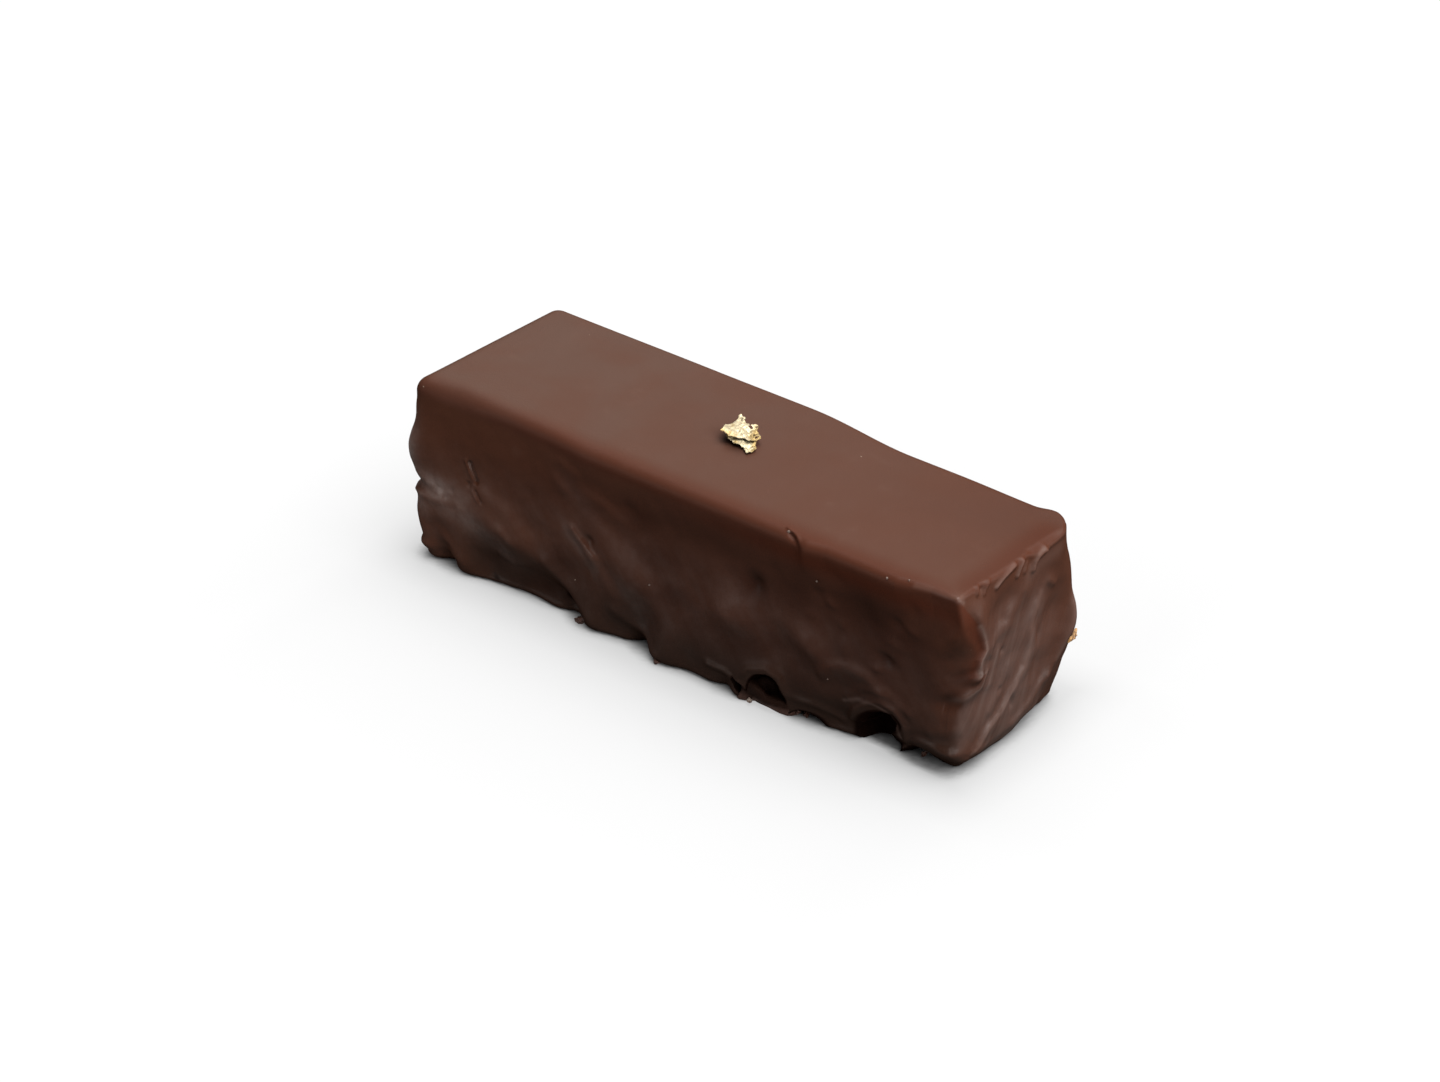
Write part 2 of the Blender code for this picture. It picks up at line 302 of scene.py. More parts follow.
# runs and rims: path, rise, how far it slopes above the path and below it
NEAR_RUNS = (
    (((-57, 16), (-53, 15.8), (-49.4, 14.3)), 0.34, 0.7, 1.6),
    (((-57.5, 13.2), (-55.6, 12.6)), 0.35, 1, 1.4),
    (((-40, 17.2), (-36, 15.4), (-31.8, 12.4)), 0.45, 1.3, 2.4),
    (((-36.4, 12.2), (-34.2, 10.6)), 0.24, 0.5, 1),
    (((-49, 5.4), (-46.6, 3.8), (-44, 2.4)), 0.55, 1.7, 1.9),
    # the upper rim of the deep place, and the run along its right side down to the base
    (((-37.6, 6.2), (-34.6, 5.6), (-31.6, 6.8)), 0.15, 0.9, 0.7),
    (((-27.6, 9.2), (-24.6, 7.2), (-21.6, 4.9), (-17, 1.6)), 0.48, 1.5, 1.4),
    (((-21.6, 18.2), (-20.2, 17), (-18.4, 15.8), (-16.8, 15)), 0.46, 0.5, 1.4),
    (((-17.2, 14), (-14.8, 11.5), (-13, 8.8)), 0.42, 1.1, 2),
    (((-12.6, 5.8), (-9.2, 4.4), (-6, 2.8), (-3.2, 1.4)), 0.6, 1.1, 1.4),
    # faint runs high on the left
    (((-24.4, 30), (-21, 29)), 0.16, 0.6, 1.4),
    (((-25, 26.2), (-23.2, 24.8)), 0.24, 0.6, 1.5),
    (((-18.2, 25.8), (-14.8, 25.2), (-10.8, 23.4)), 0.34, 0.8, 2.6),
    (((-16.5, 20.6), (-11, 17.8), (-6.5, 14.8)), 0.3, 1.5, 2.5),
    # an arch of coat over the two right-hand hollows
    (((30.4, 11.2), (32, 13.4), (35.4, 14.5), (39, 14.1), (42.2, 12.2)), 0.46, 0.9, 1.5),
    # the rolled rims of the hollows
    (
        ((35.6, 4), (36.8, 6.8), (39.2, 9.2), (42, 10.4), (44.8, 9.8), (46.6, 7.4), (46.6, 3.6)),
        0.6, 0.7, 0.9,
    ),
    (((35, 8.4), (38, 11.2), (42.8, 12.4), (47.2, 10.4)), 0.28, 0.7, 1),
    (((14, 4.2), (16, 6.4), (19.4, 7.7), (22.2, 6.9), (23.4, 4.4)), 0.45, 0.8, 0.8),
    (((7.6, 3.9), (11, 3.9), (14, 3)), 0.45, 0.6, 0.8),
    (((25.4, 4), (28.6, 4.3), (31.4, 3.7), (33.6, 2.8)), 0.42, 0.7, 0.8),
    (((46.8, 4.6), (49.6, 6), (53, 5.9), (55.4, 5)), 0.42, 0.8, 0.9),
    (((46.6, 6.8), (50.6, 8), (55, 9.4)), 0.3, 1.2, 1.4),
    # a scratch with a raised lip on its left and a cut on its right
    (SCRATCH, 0.34, 0.45, 0.35),
    (((-43.6, 22), (-43.1, 20.6), (-42.2, 19)), -0.7, 0.4, 0.4),
    (((-42.2, 17.2), (-40.9, 15.8)), -0.26, 0.3, 0.3),
    (((-42.8, 17), (-41.6, 15.7)), 0.14, 0.3, 0.3),
)
# small pits: place along, place up, size
NEAR_PITS = (
    (-43.8, 18, 0.4), (-47.2, 15.8, 0.38), (-46.4, 12.6, 0.34), (-48.4, 14, 0.3), (-50.2, 15.2, 0.3),
)
PIT_DEPTH = 0.3
# the hidden long side, finished with runs, swells and dents of the same kind
FAR_RUNS = (
    (((-45, 18), (-40, 12), (-36, 7), (-33, 3.5)), 0.85, 1.3, 2.6),
    (((-10, 21), (-5, 14), (2, 8), (6, 4)), 0.8, 1.3, 2.8),
    (((31, 19), (26, 11), (22, 5)), 0.8, 2.4, 1.2),
    (((-24, 4.6), (-17, 5), (-11, 3.6)), -0.9, 1.2, 1),
    (((34, 4.8), (43, 4)), -0.9, 1.2, 1),
    (((8, 13), (14, 15.5), (20, 14)), 0.4, 1.5, 1),
)
FAR_SWELLS = (
    ((-22, 20), (7, 4), 0.6),
    ((16, 14), (6, 4), 0.45),
    ((40, 21), (6, 5), -0.5),
    ((-48, 23), (1.6, 1.2), -0.4),
    ((-30, 11), (1.4, 1.4), -0.4),
    ((-3, 26), (2, 1.2), -0.3),
    ((11, 22), (1.3, 1.1), -0.4),
    ((27, 25), (1.8, 1), -0.3),
    ((37, 14), (1.3, 1), 0.3),
    ((48, 12), (1.5, 1.3), -0.5),
)
# the left end, places across and up
LEFT_RUNS = (
    (((8, 22), (5, 15), (2, 9), (0, 4)), 0.7, 1.3, 2.4),
    (((13, 14), (10, 8), (8, 3)), 0.6, 1, 2),
    (((-3, 15), (-6, 8), (-7, 4)), 0.5, 1.2, 2),
    (((-4, 3.4), (3, 3.8), (8, 3.2)), -0.6, 1, 0.8),
)
LEFT_SWELLS = (((-6, 24), (3, 3), -0.4), ((3, 27), (1.2, 1), -0.3), ((10, 20), (1.4, 1.2), -0.4))
# the right end, places across and up: first the wavy upright fold near its left edge
FOLD = (
    (-15.6, 34), (-14.2, 31.6), (-12.3, 28.2), (-10.8, 24.9), (-10.4, 22.9), (-11.7, 21.5), (-12, 19.9),
    (-12.4, 18.7), (-14.2, 18.9),
)
LOWER_FOLD = ((-10.2, 18.4), (-11.3, 16.4), (-13.3, 16), (-15, 15.2))
# a long curved run across the middle, down to the near foot
LONG_RUN = (
    (7.4, 27), (5.3, 25.5), (4, 23.7), (3, 21.7), (2.6, 19.6), (2.3, 16), (1.4, 13.6), (-0.8, 11.8),
    (-3.1, 9.4), (-5, 7.8), (-8.2, 6.6), (-10.4, 4.8), (-12.4, 4),
)
# the run that edges the bulge on the right, and chips of the top edge
BULGE_RUN = ((15.4, 21.5), (13.4, 15.9), (11.9, 12.8), (10.7, 10.6), (8.9, 8.2))
CHIP_LEFT = ((-7, 32.4), (-4.6, 33.4), (-1.6, 34))
CHIP_MIDDLE = ((-1.4, 31.8), (-0.5, 33), (0.4, 33.9))
CHIP_RIGHT = ((2.7, 31), (3.4, 32.4), (4.2, 33.2), (6, 33.6))
# a fifth value is the length over which a run rises
END_RUNS = (
    (FOLD[:-1], 0.75, 2.2, 0.8, 8),
    (FOLD[-2:], 0.45, 1, 0.8),
    (LOWER_FOLD, 0.5, 1.4, 0.8),
    (LONG_RUN, 0.5, 2.4, 0.9, 6),
    # a broad run to the left of the long one, and smaller ones
    (((-0.5, 28), (-2.6, 26.1), (-3.8, 24.4), (-5.8, 24), (-7.4, 23.2), (-8.7, 21.6)), 0.45, 2.2, 1.3),
    (((-7, 20.4), (-8, 18), (-8.8, 15.6)), 0.3, 1.6, 0.9),
    (BULGE_RUN, 0.6, 2.4, 1.1, 3),
    (((9, 25.4), (7.6, 26.6)), 0.3, 0.7, 1),
    (((-3.4, 16), (-5.6, 12.6), (-8, 10)), 0.3, 1.8, 0.9),
    (((8, 8), (4, 5.4), (-1, 3.8)), 0.35, 1.6, 0.9),
    # the broken top edge
    (((-12.4, 33.2), (-11.4, 34.4)), 0.3, 0.3, 0.4),
    (((-10.6, 32.6), (-9.4, 33.6), (-8.4, 34.2)), 0.3, 0.3, 0.4),
    (CHIP_LEFT, 0.4, 0.35, 0.6),
    (CHIP_MIDDLE, 0.45, 0.3, 0.4),
    (((0.6, 31.6), (1.5, 32.8)), 0.3, 0.3, 0.4),
    (CHIP_RIGHT, 0.5, 0.4, 0.7),
    (((6, 33.6), (9, 33.9), (13, 34)), 0.22, 0.4, 0.7),
)
END_SWELLS = (
    ((1.9, 32.8), (1.2, 1.2), -0.3, 25),
    ((-10.8, 33.4), (0.8, 0.6), -0.35),
    ((9.6, 20), (2.6, 4.2), -0.6, -18),
    ((-4.6, 28.6), (4, 2.4), -0.35),
    ((-1.9, 8.2), (0.6, 1.4), -0.5),
    ((-5.2, 19.8), (0.6, 0.6), -0.25),
    ((-5.5, 12.6), (0.5, 0.6), -0.3),
    ((5.4, 17.4), (1, 1.4), -0.3),
    ((5.6, 11.4), (3, 2.4), -0.3),
)
# marks on the top: a faint line along it, and a folded nick in its near edge with a cut beside it
TOP_LINE = ((-46, 2.4), (-30, 1.9), (-9, 1.6))
NICK = ((21.8, -15.2), (24.2, -16.2), (26.6, -17.6))
CUT = ((23, -16.2), (25.2, -17), (27.2, -18.2))


def relief(across, up, hills, runs):
    return sum(dent(across, up, *row) for row in hills) + sum(run(across, up, *row) for row in runs)


def near_relief(x, z):
    """Sagging runs, a scratch, dents, pits and folded lips, on the side's own profile."""
    h = relief(x, z, NEAR_SWELLS, NEAR_RUNS) * (0.3 + 0.7 * step(x, -57, -52))
    h -= sum(dent(x, z, (across, up), (size, size), PIT_DEPTH) for across, up, size in NEAR_PITS)
    return h + swells(z, NEAR_PROFILE)


def sides_of(still):
    """How far each place belongs to the near side, the far side and the right end."""
    x0, y0, _ = still
    return step(-y0, 4, 15), step(y0, 4, 15), step(x0, 40, 55)


def set_edges(moved, still):
    """Skews the left end, and sets the far corner, the top edges, the feet and the base."""
    x, y, _ = moved
    x0, y0, z0 = still
    near, far, right = sides_of(still)

    # the far right corner is round in plan though its top edge is crisp
    over_x = np.maximum(x0 - HALF_LENGTH + FAR_CORNER, 0.0)
    over_y = np.maximum(y0 - HALF_WIDTH + FAR_CORNER, 0.0)
    shrink = np.maximum(over_x, over_y) / np.maximum(np.hypot(over_x, over_y), 0.001)
    shrink = (shrink - 1.0) * step(z0, 20, 31) * (over_x > 0) * (over_y > 0)
    x += over_x * shrink
    y += over_y * shrink

    # the top edges lie further in here and there
    x -= right * step(z0, 29, 34) * read_off(y0, END_TOP_IN)
    y += near * step(z0, 24, 33) * read_off(x0, NEAR_TOP_IN)

    x += (SKEW * y0 + 0.3) * step(-x0, 20, 55)
    y += far * (FAR_SIDE_OUT - FAR_SIDE_TAPER * step(x0, 2, 24) - 0.35 * step(x0, 34, 50))
    # the near feet swell out gradually and draw in again just above the base
    foot = fall(z0, 2, 12) * (1.0 - 0.25 * bell(z0, 0, 1.2))
    y -= near * foot * swells(x0, NEAR_FEET)
    y += far * fall(z0, 0, 7) * swells(x0, FAR_FEET)
    y -= near * fall(z0, 0, 4.5) * swells(x0, NEAR_TUCKS)
    x -= right * fall(z0, 0, 3.6) * read_off(y0, END_BASE_IN)


def swell_corners(moved, still):
    """Swells two of the upright corners, and undercuts the near right one at the base."""
    x, y, _ = moved
    x0, y0, z0 = still
    near, far, right = sides_of(still)
    corner = step(-x0, 44, 55) * step(-y0, -8, 14)
    swell = swells(z0, LEFT_CORNER_SWELLS) - 2.5 * fall(z0, 0, 9.5) - 0.3
    x -= 0.75 * swell * corner
    y -= 0.65 * swell * corner

    # the far right corner bulges above and draws in towards the base
    swell = swells(z0, FAR_CORNER_SWELLS) - 2.6 * fall(z0, 0, 11)
    x += 0.75 * swell * right * far
    y += 0.65 * swell * right * far
    x -= right * fall(z0, 0, 6) * 0.3
    y += 4.0 * right * near * fall(z0, 0, 5.5)


def unevenness_place(still):
    return (still * np.array([[1.0], [1.0], [0.8]])).T


def add_relief(moved, still):
    """Runs, swells and dents on the four sides, and low unevenness all over them."""
    x, y, _ = moved
    x0, y0, z0 = still
    near, far, _ = sides_of(still)
    off_base = step(z0, 0.2, 1.6)
    y -= near * off_base * near_relief(x0, z0)
    y += far * off_base * relief(x0, z0, FAR_SWELLS, FAR_RUNS)
    # each end's relief reaches round its upright edges
    x += step(x0, 46, 54.5) * off_base * relief(y0, z0, END_SWELLS, END_RUNS)
    x -= step(-x0, 46, 54.5) * off_base * relief(y0, z0, LEFT_SWELLS, LEFT_RUNS)

    place = unevenness_place(still)
    uneven = 0.07 * ripple(place, 10, 11) + 0.034 * ripple(place, 4, 12) + 0.013 * ripple(place, 1.8, 13)
    uneven *= fall(z0, 29, 34) * off_base
    x += np.sign(x0) * (np.abs(x0) > HALF_LENGTH - 3.0) * uneven
    y += np.sign(y0) * (np.abs(y0) >= HALF_WIDTH - 1.0) * uneven


def mark_top(moved, still):
    """The top flowed almost level. It has a faint line, a nick and a chipped right edge."""
    _, y, z = moved
    x0, y0, z0 = still
    near, _, _ = sides_of(still)
    place = unevenness_place(still)
    on_top = step(z0, 31, 33.5)
    inward = step(HALF_LENGTH - np.abs(x0), 0, 5) * step(HALF_WIDTH - np.abs(y0), 0, 4)
    z += on_top * (0.06 * ripple(place, 30, 21) + 0.03 * ripple(place, 13, 22)) * inward
    # the top edge of the right end is chipped lower from its middle to the right
    z -= on_top * step(x0, 55, 56) * step(y0, 1.6, 3.4) * step(-y0, -13.5, -9) * 0.35
    z += on_top * run(x0, y0, TOP_LINE, 0.05, 1.2, 0.4)
    nick = run(x0, y0, NICK, 1.0, 0.35, 0.35)
    cut = run(x0, y0, CUT, 1.0, 0.4, 0.4)
    z += on_top * 0.22 * nick
    z -= step(z0, 30, 33) * 0.35 * cut
    y += near * step(z0, 28, 32) * (0.35 * cut - 0.3 * nick)


def shape_bar(points):
    """The rounded box with its skewed end, feet, swells, runs, dents and fine unevenness.

    Still holds the rounded box's places. Each change moves the rows of its copy in place.
    """
    still = round_box(points).T
    moved = still.copy()
    for change in (set_edges, swell_corners, add_relief, mark_top):
        change(moved, still)
    return moved.T + CENTRE


# Meshes


def quads(numbers):
    """Four-sided faces over a grid of points, from the grid of the points' numbers."""
    corners = numbers[:-1, :-1], numbers[1:, :-1], numbers[1:, 1:], numbers[:-1, 1:]
    return np.stack(corners, axis=-1).reshape(-1, 4)


def grid_box(cells_long, cells_wide, cells_high):
    """Points and four-sided faces of a box's surface, with shared points along its edges."""

    def eased(half, cells):
        t = np.linspace(-1.0, 1.0, cells + 1)
        return half * (0.8 * t + 0.2 * np.sin(t * math.pi / 2))

    xs = eased(HALF_LENGTH, cells_long)
    ys = eased(HALF_WIDTH, cells_wide)
    zs = eased(HEIGHT / 2, cells_high) + HEIGHT / 2
    numbers = -np.ones((cells_long + 1, cells_wide + 1, cells_high + 1), dtype=int)
    shell = np.zeros_like(numbers, dtype=bool)
    shell[[0, -1], :, :] = True
    shell[:, [0, -1], :] = True
    shell[:, :, [0, -1]] = True
    places = np.argwhere(shell)
    numbers[shell] = np.arange(len(places))
    points = np.stack([xs[places[:, 0]], ys[places[:, 1]], zs[places[:, 2]]], axis=-1)

    def inward(faces):
        return faces[:, [0, 3, 2, 1]]

    faces = [
        quads(numbers[:, :, -1]),
        inward(quads(numbers[:, :, 0])),
        quads(numbers[:, 0, :]),
        inward(quads(numbers[:, -1, :])),
        quads(numbers[-1, :, :]),
        inward(quads(numbers[0, :, :])),
    ]
    return points, np.concatenate(faces)


def mesh_object(name, points, faces, look=None):
    """An object from points in millimetres and faces."""
    mesh = bpy.data.meshes.new(name)
    faces = faces.tolist() if isinstance(faces, np.ndarray) else faces
    mesh.from_pydata((np.asarray(points) * MM).tolist(), [], faces)
    mesh.update()
    mesh.shade_smooth()
    made = bpy.data.objects.new(name, mesh)
    bpy.context.scene.collection.objects.link(made)
    if look is not None:
        mesh.materials.append(look)
    return made


def store(thing, name, values):
    """Keeps a value at each point of a mesh, for its finish to read."""
    made = thing.data.attributes.new(name, "FLOAT", "POINT")
    made.data.foreach_set("value", values)


def join(parts):
    """The points and faces of one mesh, from the points and faces of its parts."""
    starts = np.cumsum([0] + [len(points) for points, _ in parts])
    faces = [faces + start for (_, faces), start in zip(parts, starts)]
    return np.concatenate([points for points, _ in parts]), np.concatenate(faces)


def lumpy_ball(place, half_sizes, turn, seed, lumps, detail):
    """Points and faces of an uneven ball, squashed to three half sizes and turned about Y."""
    builder = bmesh.new()
    bmesh.ops.create_icosphere(builder, subdivisions=detail, radius=1.0)
    points = np.array([vert.co for vert in builder.verts])
    faces = np.array([[vert.index for vert in face.verts] for face in builder.faces])
    builder.free()
    uneven = lumps * ripple(points, 1.6, seed) + 0.4 * lumps * ripple(points, 0.7, seed + 50)
    points = points * (1.0 + uneven)[:, None] * np.array(half_sizes)
    return points @ turn_about_y(turn).T + np.array(place) + CENTRE, faces


# hollows under the edge of the coat: centre, half sizes, turn about Y
HOLLOWS = (
    ((19.7, -18.8, 2.4), (3.8, 6, 4), -16),
    ((41.3, -18.8, 5.6), (4.2, 9, 2.1), -27),
    ((40.5, -18.4, 1.6), (4, 8, 3.9), 0),
    ((48.4, -14.6, 0), (3.4, 4.2, 1.7), 0),
    ((-23.3, -18.8, 2.8), (2.6, 3.2, 1), 27),
    ((-39.6, -18.8, 1.6), (1.9, 1.8, 0.8), 30),
    ((14.7, -19.2, 1.9), (2.5, 2.8, 0.9), 34),
    ((27.4, -17.8, 0), (3.4, 4, 1.8), 0),
    ((54.9, 4.8, 0), (2.5, 3.5, 1.25), 0),
    ((54.9, -5.4, 0), (2.3, 3.1, 1), 0),
)
# places on the near side with painted shade: place, half sizes, how dark
SHADED_PLACES = (
    ((-27, 3.4), (7, 2.4), 0.45),
    ((-40, 4.4), (4, 2.6), 0.2),
    ((-3, 19.5), (5, 4), 0.28),
    ((0.2, 13.2), (4.6, 3.2), 0.42),
    ((5.3, 18), (3.5, 4), 0.16),
    ((5.3, 10.5), (4.5, 3), 0.22),
    ((15.6, 10), (6, 3), 0.38),
    ((21.7, 12.1), (3.5, 3.2), 0.26),
    ((25.8, 8), (3.5, 2.2), 0.25),
    ((5.3, 26.7), (8, 3), 0.16),
    ((37.6, 18.7), (3.5, 3), 0.2),
    ((45.3, 23.8), (4, 3.5), 0.16),
    ((25.9, 33), (0.8, 0.6), 0.6),
    ((-22.5, 3), (3, 1.6), 0.5),
    ((-6, 6), (6, 3.5), 0.15),
    ((16.5, 21.8), (2.4, 2.6), 0.42),
    ((38, 9.5), (5, 2.6), 0.15),
    ((43, 18.2), (2, 1.4), 0.3),
    ((55.2, 15), (2.2, 1.7), 0.5),
    ((56.4, 18.9), (2.2, 1.4), 0.5),
    ((52, 16.8), (2, 1.6), 0.2),
    ((38, 25), (8, 5), 0.3),
    ((51, 4.6), (5, 2), 0.08),
    ((-24.6, 10.6), (3.6, 2.6), 0.4),
    ((-7.2, 25.2), (4, 3.4), 0.34),
    ((25.4, 23.4), (4.6, 3.4), 0.32),
    ((26.6, 12), (4, 3), 0.3),
    ((-29, 21.5), (5, 3), 0.18),
)
# the painted shadow on the coat beside the lifted edge of the leaf
LEAF_SHADOW = ((-1.3, -0.3), (3.2, 1.2), 0.85, -24)
# places on the near side, and one on the end, with more sheen: place, half sizes, share, turn
GLOSS_PLACES = (
    ((-58.2, 21.5), (2.2, 6), 4.6),
    ((-51.4, 15.9), (4.6, 1.5), 2.4, -4),
    ((-55, 11.4), (2.6, 2.2), 0.9),
    ((-47, 13), (4.6, 2.4), 0.85, -24),
    ((-43.6, 10.6), (3.6, 2.4), 1.05, -20),
    ((-38, 8.4), (4.2, 2.2), 1.25, -28),
    ((-21.4, 16.2), (3.6, 1.8), 1, -45),
    ((-20.6, 24.2), (5, 2), 0.5, -38),
    ((-17.2, 13.2), (3.2, 1.8), 0.6, -48),
    ((-8.6, 17.6), (5, 2.4), 0.15, -45),
    ((-9, 9.2), (4.2, 2), 0.75, -48),
    ((-6.4, 4.6), (2.6, 0.7), 0.5, -52),
    ((36, 14), (5, 1.2), 0.25, -28),
    ((53.6, 6.6), (3, 1.4), 0.3, -10),
)
END_GLOSS = ((15.4, 18), (1.4, 2.8), 3.6)


def cut_away(body, cutter):
    cut = body.modifiers.new("hollow", "BOOLEAN")
    cut.operation = "DIFFERENCE"
    cut.solver = "MANIFOLD"
    cut.object = cutter
    with bpy.context.temp_override(object=body, active_object=body, selected_objects=[body]):
        bpy.ops.object.modifier_apply(modifier=cut.name)
    bpy.data.objects.remove(cutter, do_unlink=True)


def refine(points, faces):
    """Halves the cells of the flat box in the fine places and joins those of its base."""
    flat = bpy.data.meshes.new("flat_box")
    flat.from_pydata(points.tolist(), [], faces.tolist())
    builder = bmesh.new()
    builder.from_mesh(flat)
    bpy.data.meshes.remove(flat)
    chosen, base = set(), []
    for face in builder.faces:
        x, y, z = face.calc_center_median()
        if z < 0.01:
            if abs(x) < HALF_LENGTH - BASE_RING and abs(y) < HALF_WIDTH - BASE_RING:
                base.append(face)
            continue
        if y < 0.01 - HALF_WIDTH:
            places, across, up = FINE_NEAR, x, z
        elif x > HALF_LENGTH - 0.01:
            places, across, up = FINE_END, y, z
        elif z > HEIGHT - 0.01:
            places, across, up = FINE_TOP, x, y
        else:
            continue
        if any(left < across < right and low < up < high for left, right, low, high in places):
            chosen.update(face.edges)
    bmesh.ops.subdivide_edges(builder, edges=list(chosen), cuts=1, use_grid_fill=True)
    bmesh.ops.dissolve_faces(builder, faces=[face for face in base if face.is_valid], use_verts=False)
    loose = [vert for vert in builder.verts if not vert.link_faces]
    bmesh.ops.delete(builder, geom=loose, context="VERTS")
    builder.verts.index_update()
    points = np.array([vert.co for vert in builder.verts])
    faces = [[vert.index for vert in face.verts] for face in builder.faces]
    builder.free()
    return points, faces


def how_shaded(points):
    """Painted shade: 1 on the walls of the hollows, less in the shaded places and as a painted shadow
    beside the leaf, and 0 elsewhere.
    """
    x, y, z = points.T
    deep_shade = dent(x, y, *LEAF_SHADOW) * step(z, 33, 34)
    for place in SHADED_PLACES:
        deep_shade = np.maximum(deep_shade, dent(x, z, *place) * step(-y, 10, 13))
    inner = step(y, -17.9, -16.9)
    for centre, half_sizes, turn in HOLLOWS:
        local = (points - np.array(centre) - CENTRE) @ turn_about_y(turn)
        away = np.linalg.norm(local / np.array(half_sizes), axis=1)
        deep_shade = np.maximum(deep_shade, fall(away, 1.0 + 0.12 * inner, 1.08 + 0.3 * inner))
    return deep_shade


def how_glossy(points):
    """How much more than elsewhere places on the near side and the end shine."""
    x, y, z = from_centre(points)
    near = sum(dent(x, z, *place) for place in GLOSS_PLACES) * step(-y, 12.5, 17.5)
    return near + dent(y, z, *END_GLOSS) * step(x, 50, 52.5)


# crests with a painted highlight: path, half width, share
NEAR_CRESTS = (
    (((44.6, 1.2), (46.2, 2.3), (48.2, 2.6), (50.2, 2.2), (52.2, 1.2)), 0.35, 0.6),
    (((34.4, 7.2), (37, 8.6), (40.4, 9.4), (43, 8.6), (44.8, 6.6), (45.2, 4)), 0.35, 0.55),
    (SCRATCH, 0.3, 0.6),
    (((47, 33.7), (51, 33.8), (55, 33.9)), 0.3, 0.5),
)
END_CRESTS = (
    (tuple((across + 0.1, up) for across, up in FOLD[2:-1]), 0.4, 0.9),
    (((2, 30.2), (6, 31.2), (9.5, 31.4)), 1.5, 0.35),
    (LOWER_FOLD, 0.6, 0.5),
    (((5.3, 25.5), (3, 21.7), (2.3, 16), (1.4, 13.6), (-0.8, 11.8)), 0.6, 0.35),
    (LONG_RUN[7:], 0.4, 0.7),
    (BULGE_RUN[:-1], 0.8, 0.5),
    (((-6.8, 20.6), (-8, 17.6), (-9, 15)), 0.4, 0.35),
    (CHIP_LEFT, 0.25, 0.6),
    (CHIP_MIDDLE, 0.22, 0.6),
    (CHIP_RIGHT, 0.22, 0.5),
    (((-14.6, 33.2), (-15.6, 33.8)), 0.4, 0.8),
)


def how_crest_highlighted(points):
    """1 along the crests of the coat that carry a painted highlight, and 0 away from them."""
    x, y, z = from_centre(points)
    share = np.zeros(len(points))
    on_near = step(-y, 13, 15.5) * fall(x, 54.6, 55.6)
    for path, wide, height in NEAR_CRESTS:
        share = np.maximum(share, run(x, z, path, height, wide, wide) * on_near)
    rim = blend(52.0, 56.2 - read_off(y, END_TOP_IN), step(z, 31, 33.6))
    on_end = step(x, rim - 1, rim)
    for path, wide, height in END_CRESTS:
        share = np.maximum(share, run(y, z, path, height, wide, wide) * on_end)
    return share


def fold_edge(z):
    """How far across the fold in the right end lies at a height."""
    places = sorted([(up, across) for across, up in FOLD[:-1] + LOWER_FOLD] + [(12.0, -17.4)])
    return read_off(z, places)


def how_far_round(points):
    """1 on the long side of the fold in the right end, and 0 beyond it."""
    x, y, z = from_centre(points)
    edge = fold_edge(z)
    return fall(y, edge - 0.35, edge + 0.25) * step(z, 12, 15) * step(x, 30, 50)


def how_thin_glow(points):
    """1 where the coat is thin over an edge and beside the fold, with a redder painted glow of light
    through it, and 0 elsewhere.
    """
    x, y, z = from_centre(points)
    under_edge = bell(z, 31.4, 2.2) * step(-y, 15, 16.2) * step(x, -10, 25) * step(33.6 - z, 0, 0.8)
    short_of = fold_edge(z) - y
    wide = read_off(z, ((20.0, 1.4), (24.0, 2.1), (31.0, 4.4)))
    by_fold = (short_of > 0) * bell(short_of, 0, wide) * step(z, 17.5, 19) * step(x, 51, 53.5)
    top_edge = step(-y, 11.5, 16.2) * step(z, 30.5, 32.4) * fall(x, 52, 55)
    rim = step(x, 50, 54.4) * step(z, 33, 33.8) * step(y, -16.5, -11) * fall(y, 9, 14)
    return np.max([under_edge, 0.85 * by_fold, 0.6 * rim, 0.75 * top_edge], axis=0)


# the rims to soften: from and up to this height, no further right, and more sharply bent
RIM_FROM = 0.15
RIM_TO = 12.0
RIM_RIGHT = 51.5
RIM_BEND = math.radians(38)


def soften_rims(bar):
    """Rounds the sharp rims that the hollows leave, as set chocolate has no sharp rim."""
    builder = bmesh.new()
    builder.from_mesh(bar.data)
    bmesh.ops.remove_doubles(builder, verts=builder.verts, dist=0.02 * MM)
    sharp = {
        vert
        for edge in builder.edges
        if len(edge.link_faces) == 2 and edge.calc_face_angle(0.0) > RIM_BEND
        for vert in edge.verts
        if RIM_FROM * MM < vert.co.z < RIM_TO * MM and vert.co.x < RIM_RIGHT * MM
    }
    for _ in range(2):
        sharp |= {edge.other_vert(vert) for vert in sharp for edge in vert.link_edges}
    every_way = {"use_axis_x": True, "use_axis_y": True, "use_axis_z": True}
    for _ in range(5):
        bmesh.ops.smooth_vert(builder, verts=list(sharp), factor=0.5, **every_way)
    builder.to_mesh(bar.data)
    builder.free()


# shares that the coat's finish reads at each point of the mesh
SHARES = {
    "deep_shade": how_shaded,
    "sheen": how_glossy,
    "crest": how_crest_highlighted,
    "round": how_far_round,
    "thin_glow": how_thin_glow,
}


def make_bar(look):
    points, faces = refine(*grid_box(CELLS_LONG, CELLS_WIDE, CELLS_HIGH))
    bar = mesh_object("chocolate_coat", shape_bar(points), faces, look)
    for seed, (centre, half_sizes, turn) in enumerate(HOLLOWS):
        detail = 5 if min(half_sizes) > 1.5 else 4
        ball, ball_faces = lumpy_ball(centre, half_sizes, turn, seed + 100, 0.07, detail)
        cut_away(bar, mesh_object("hollow_cutter", ball, ball_faces))
    soften_rims(bar)
    places = np.array([vert.co for vert in bar.data.vertices]) / MM
    for name, measure in SHARES.items():
        store(bar, name, measure(places))
    bar.data.shade_smooth()
    return bar


# The gold leaf

LEAF_CELL = 0.12
LEAF_THICKNESS = 0.04
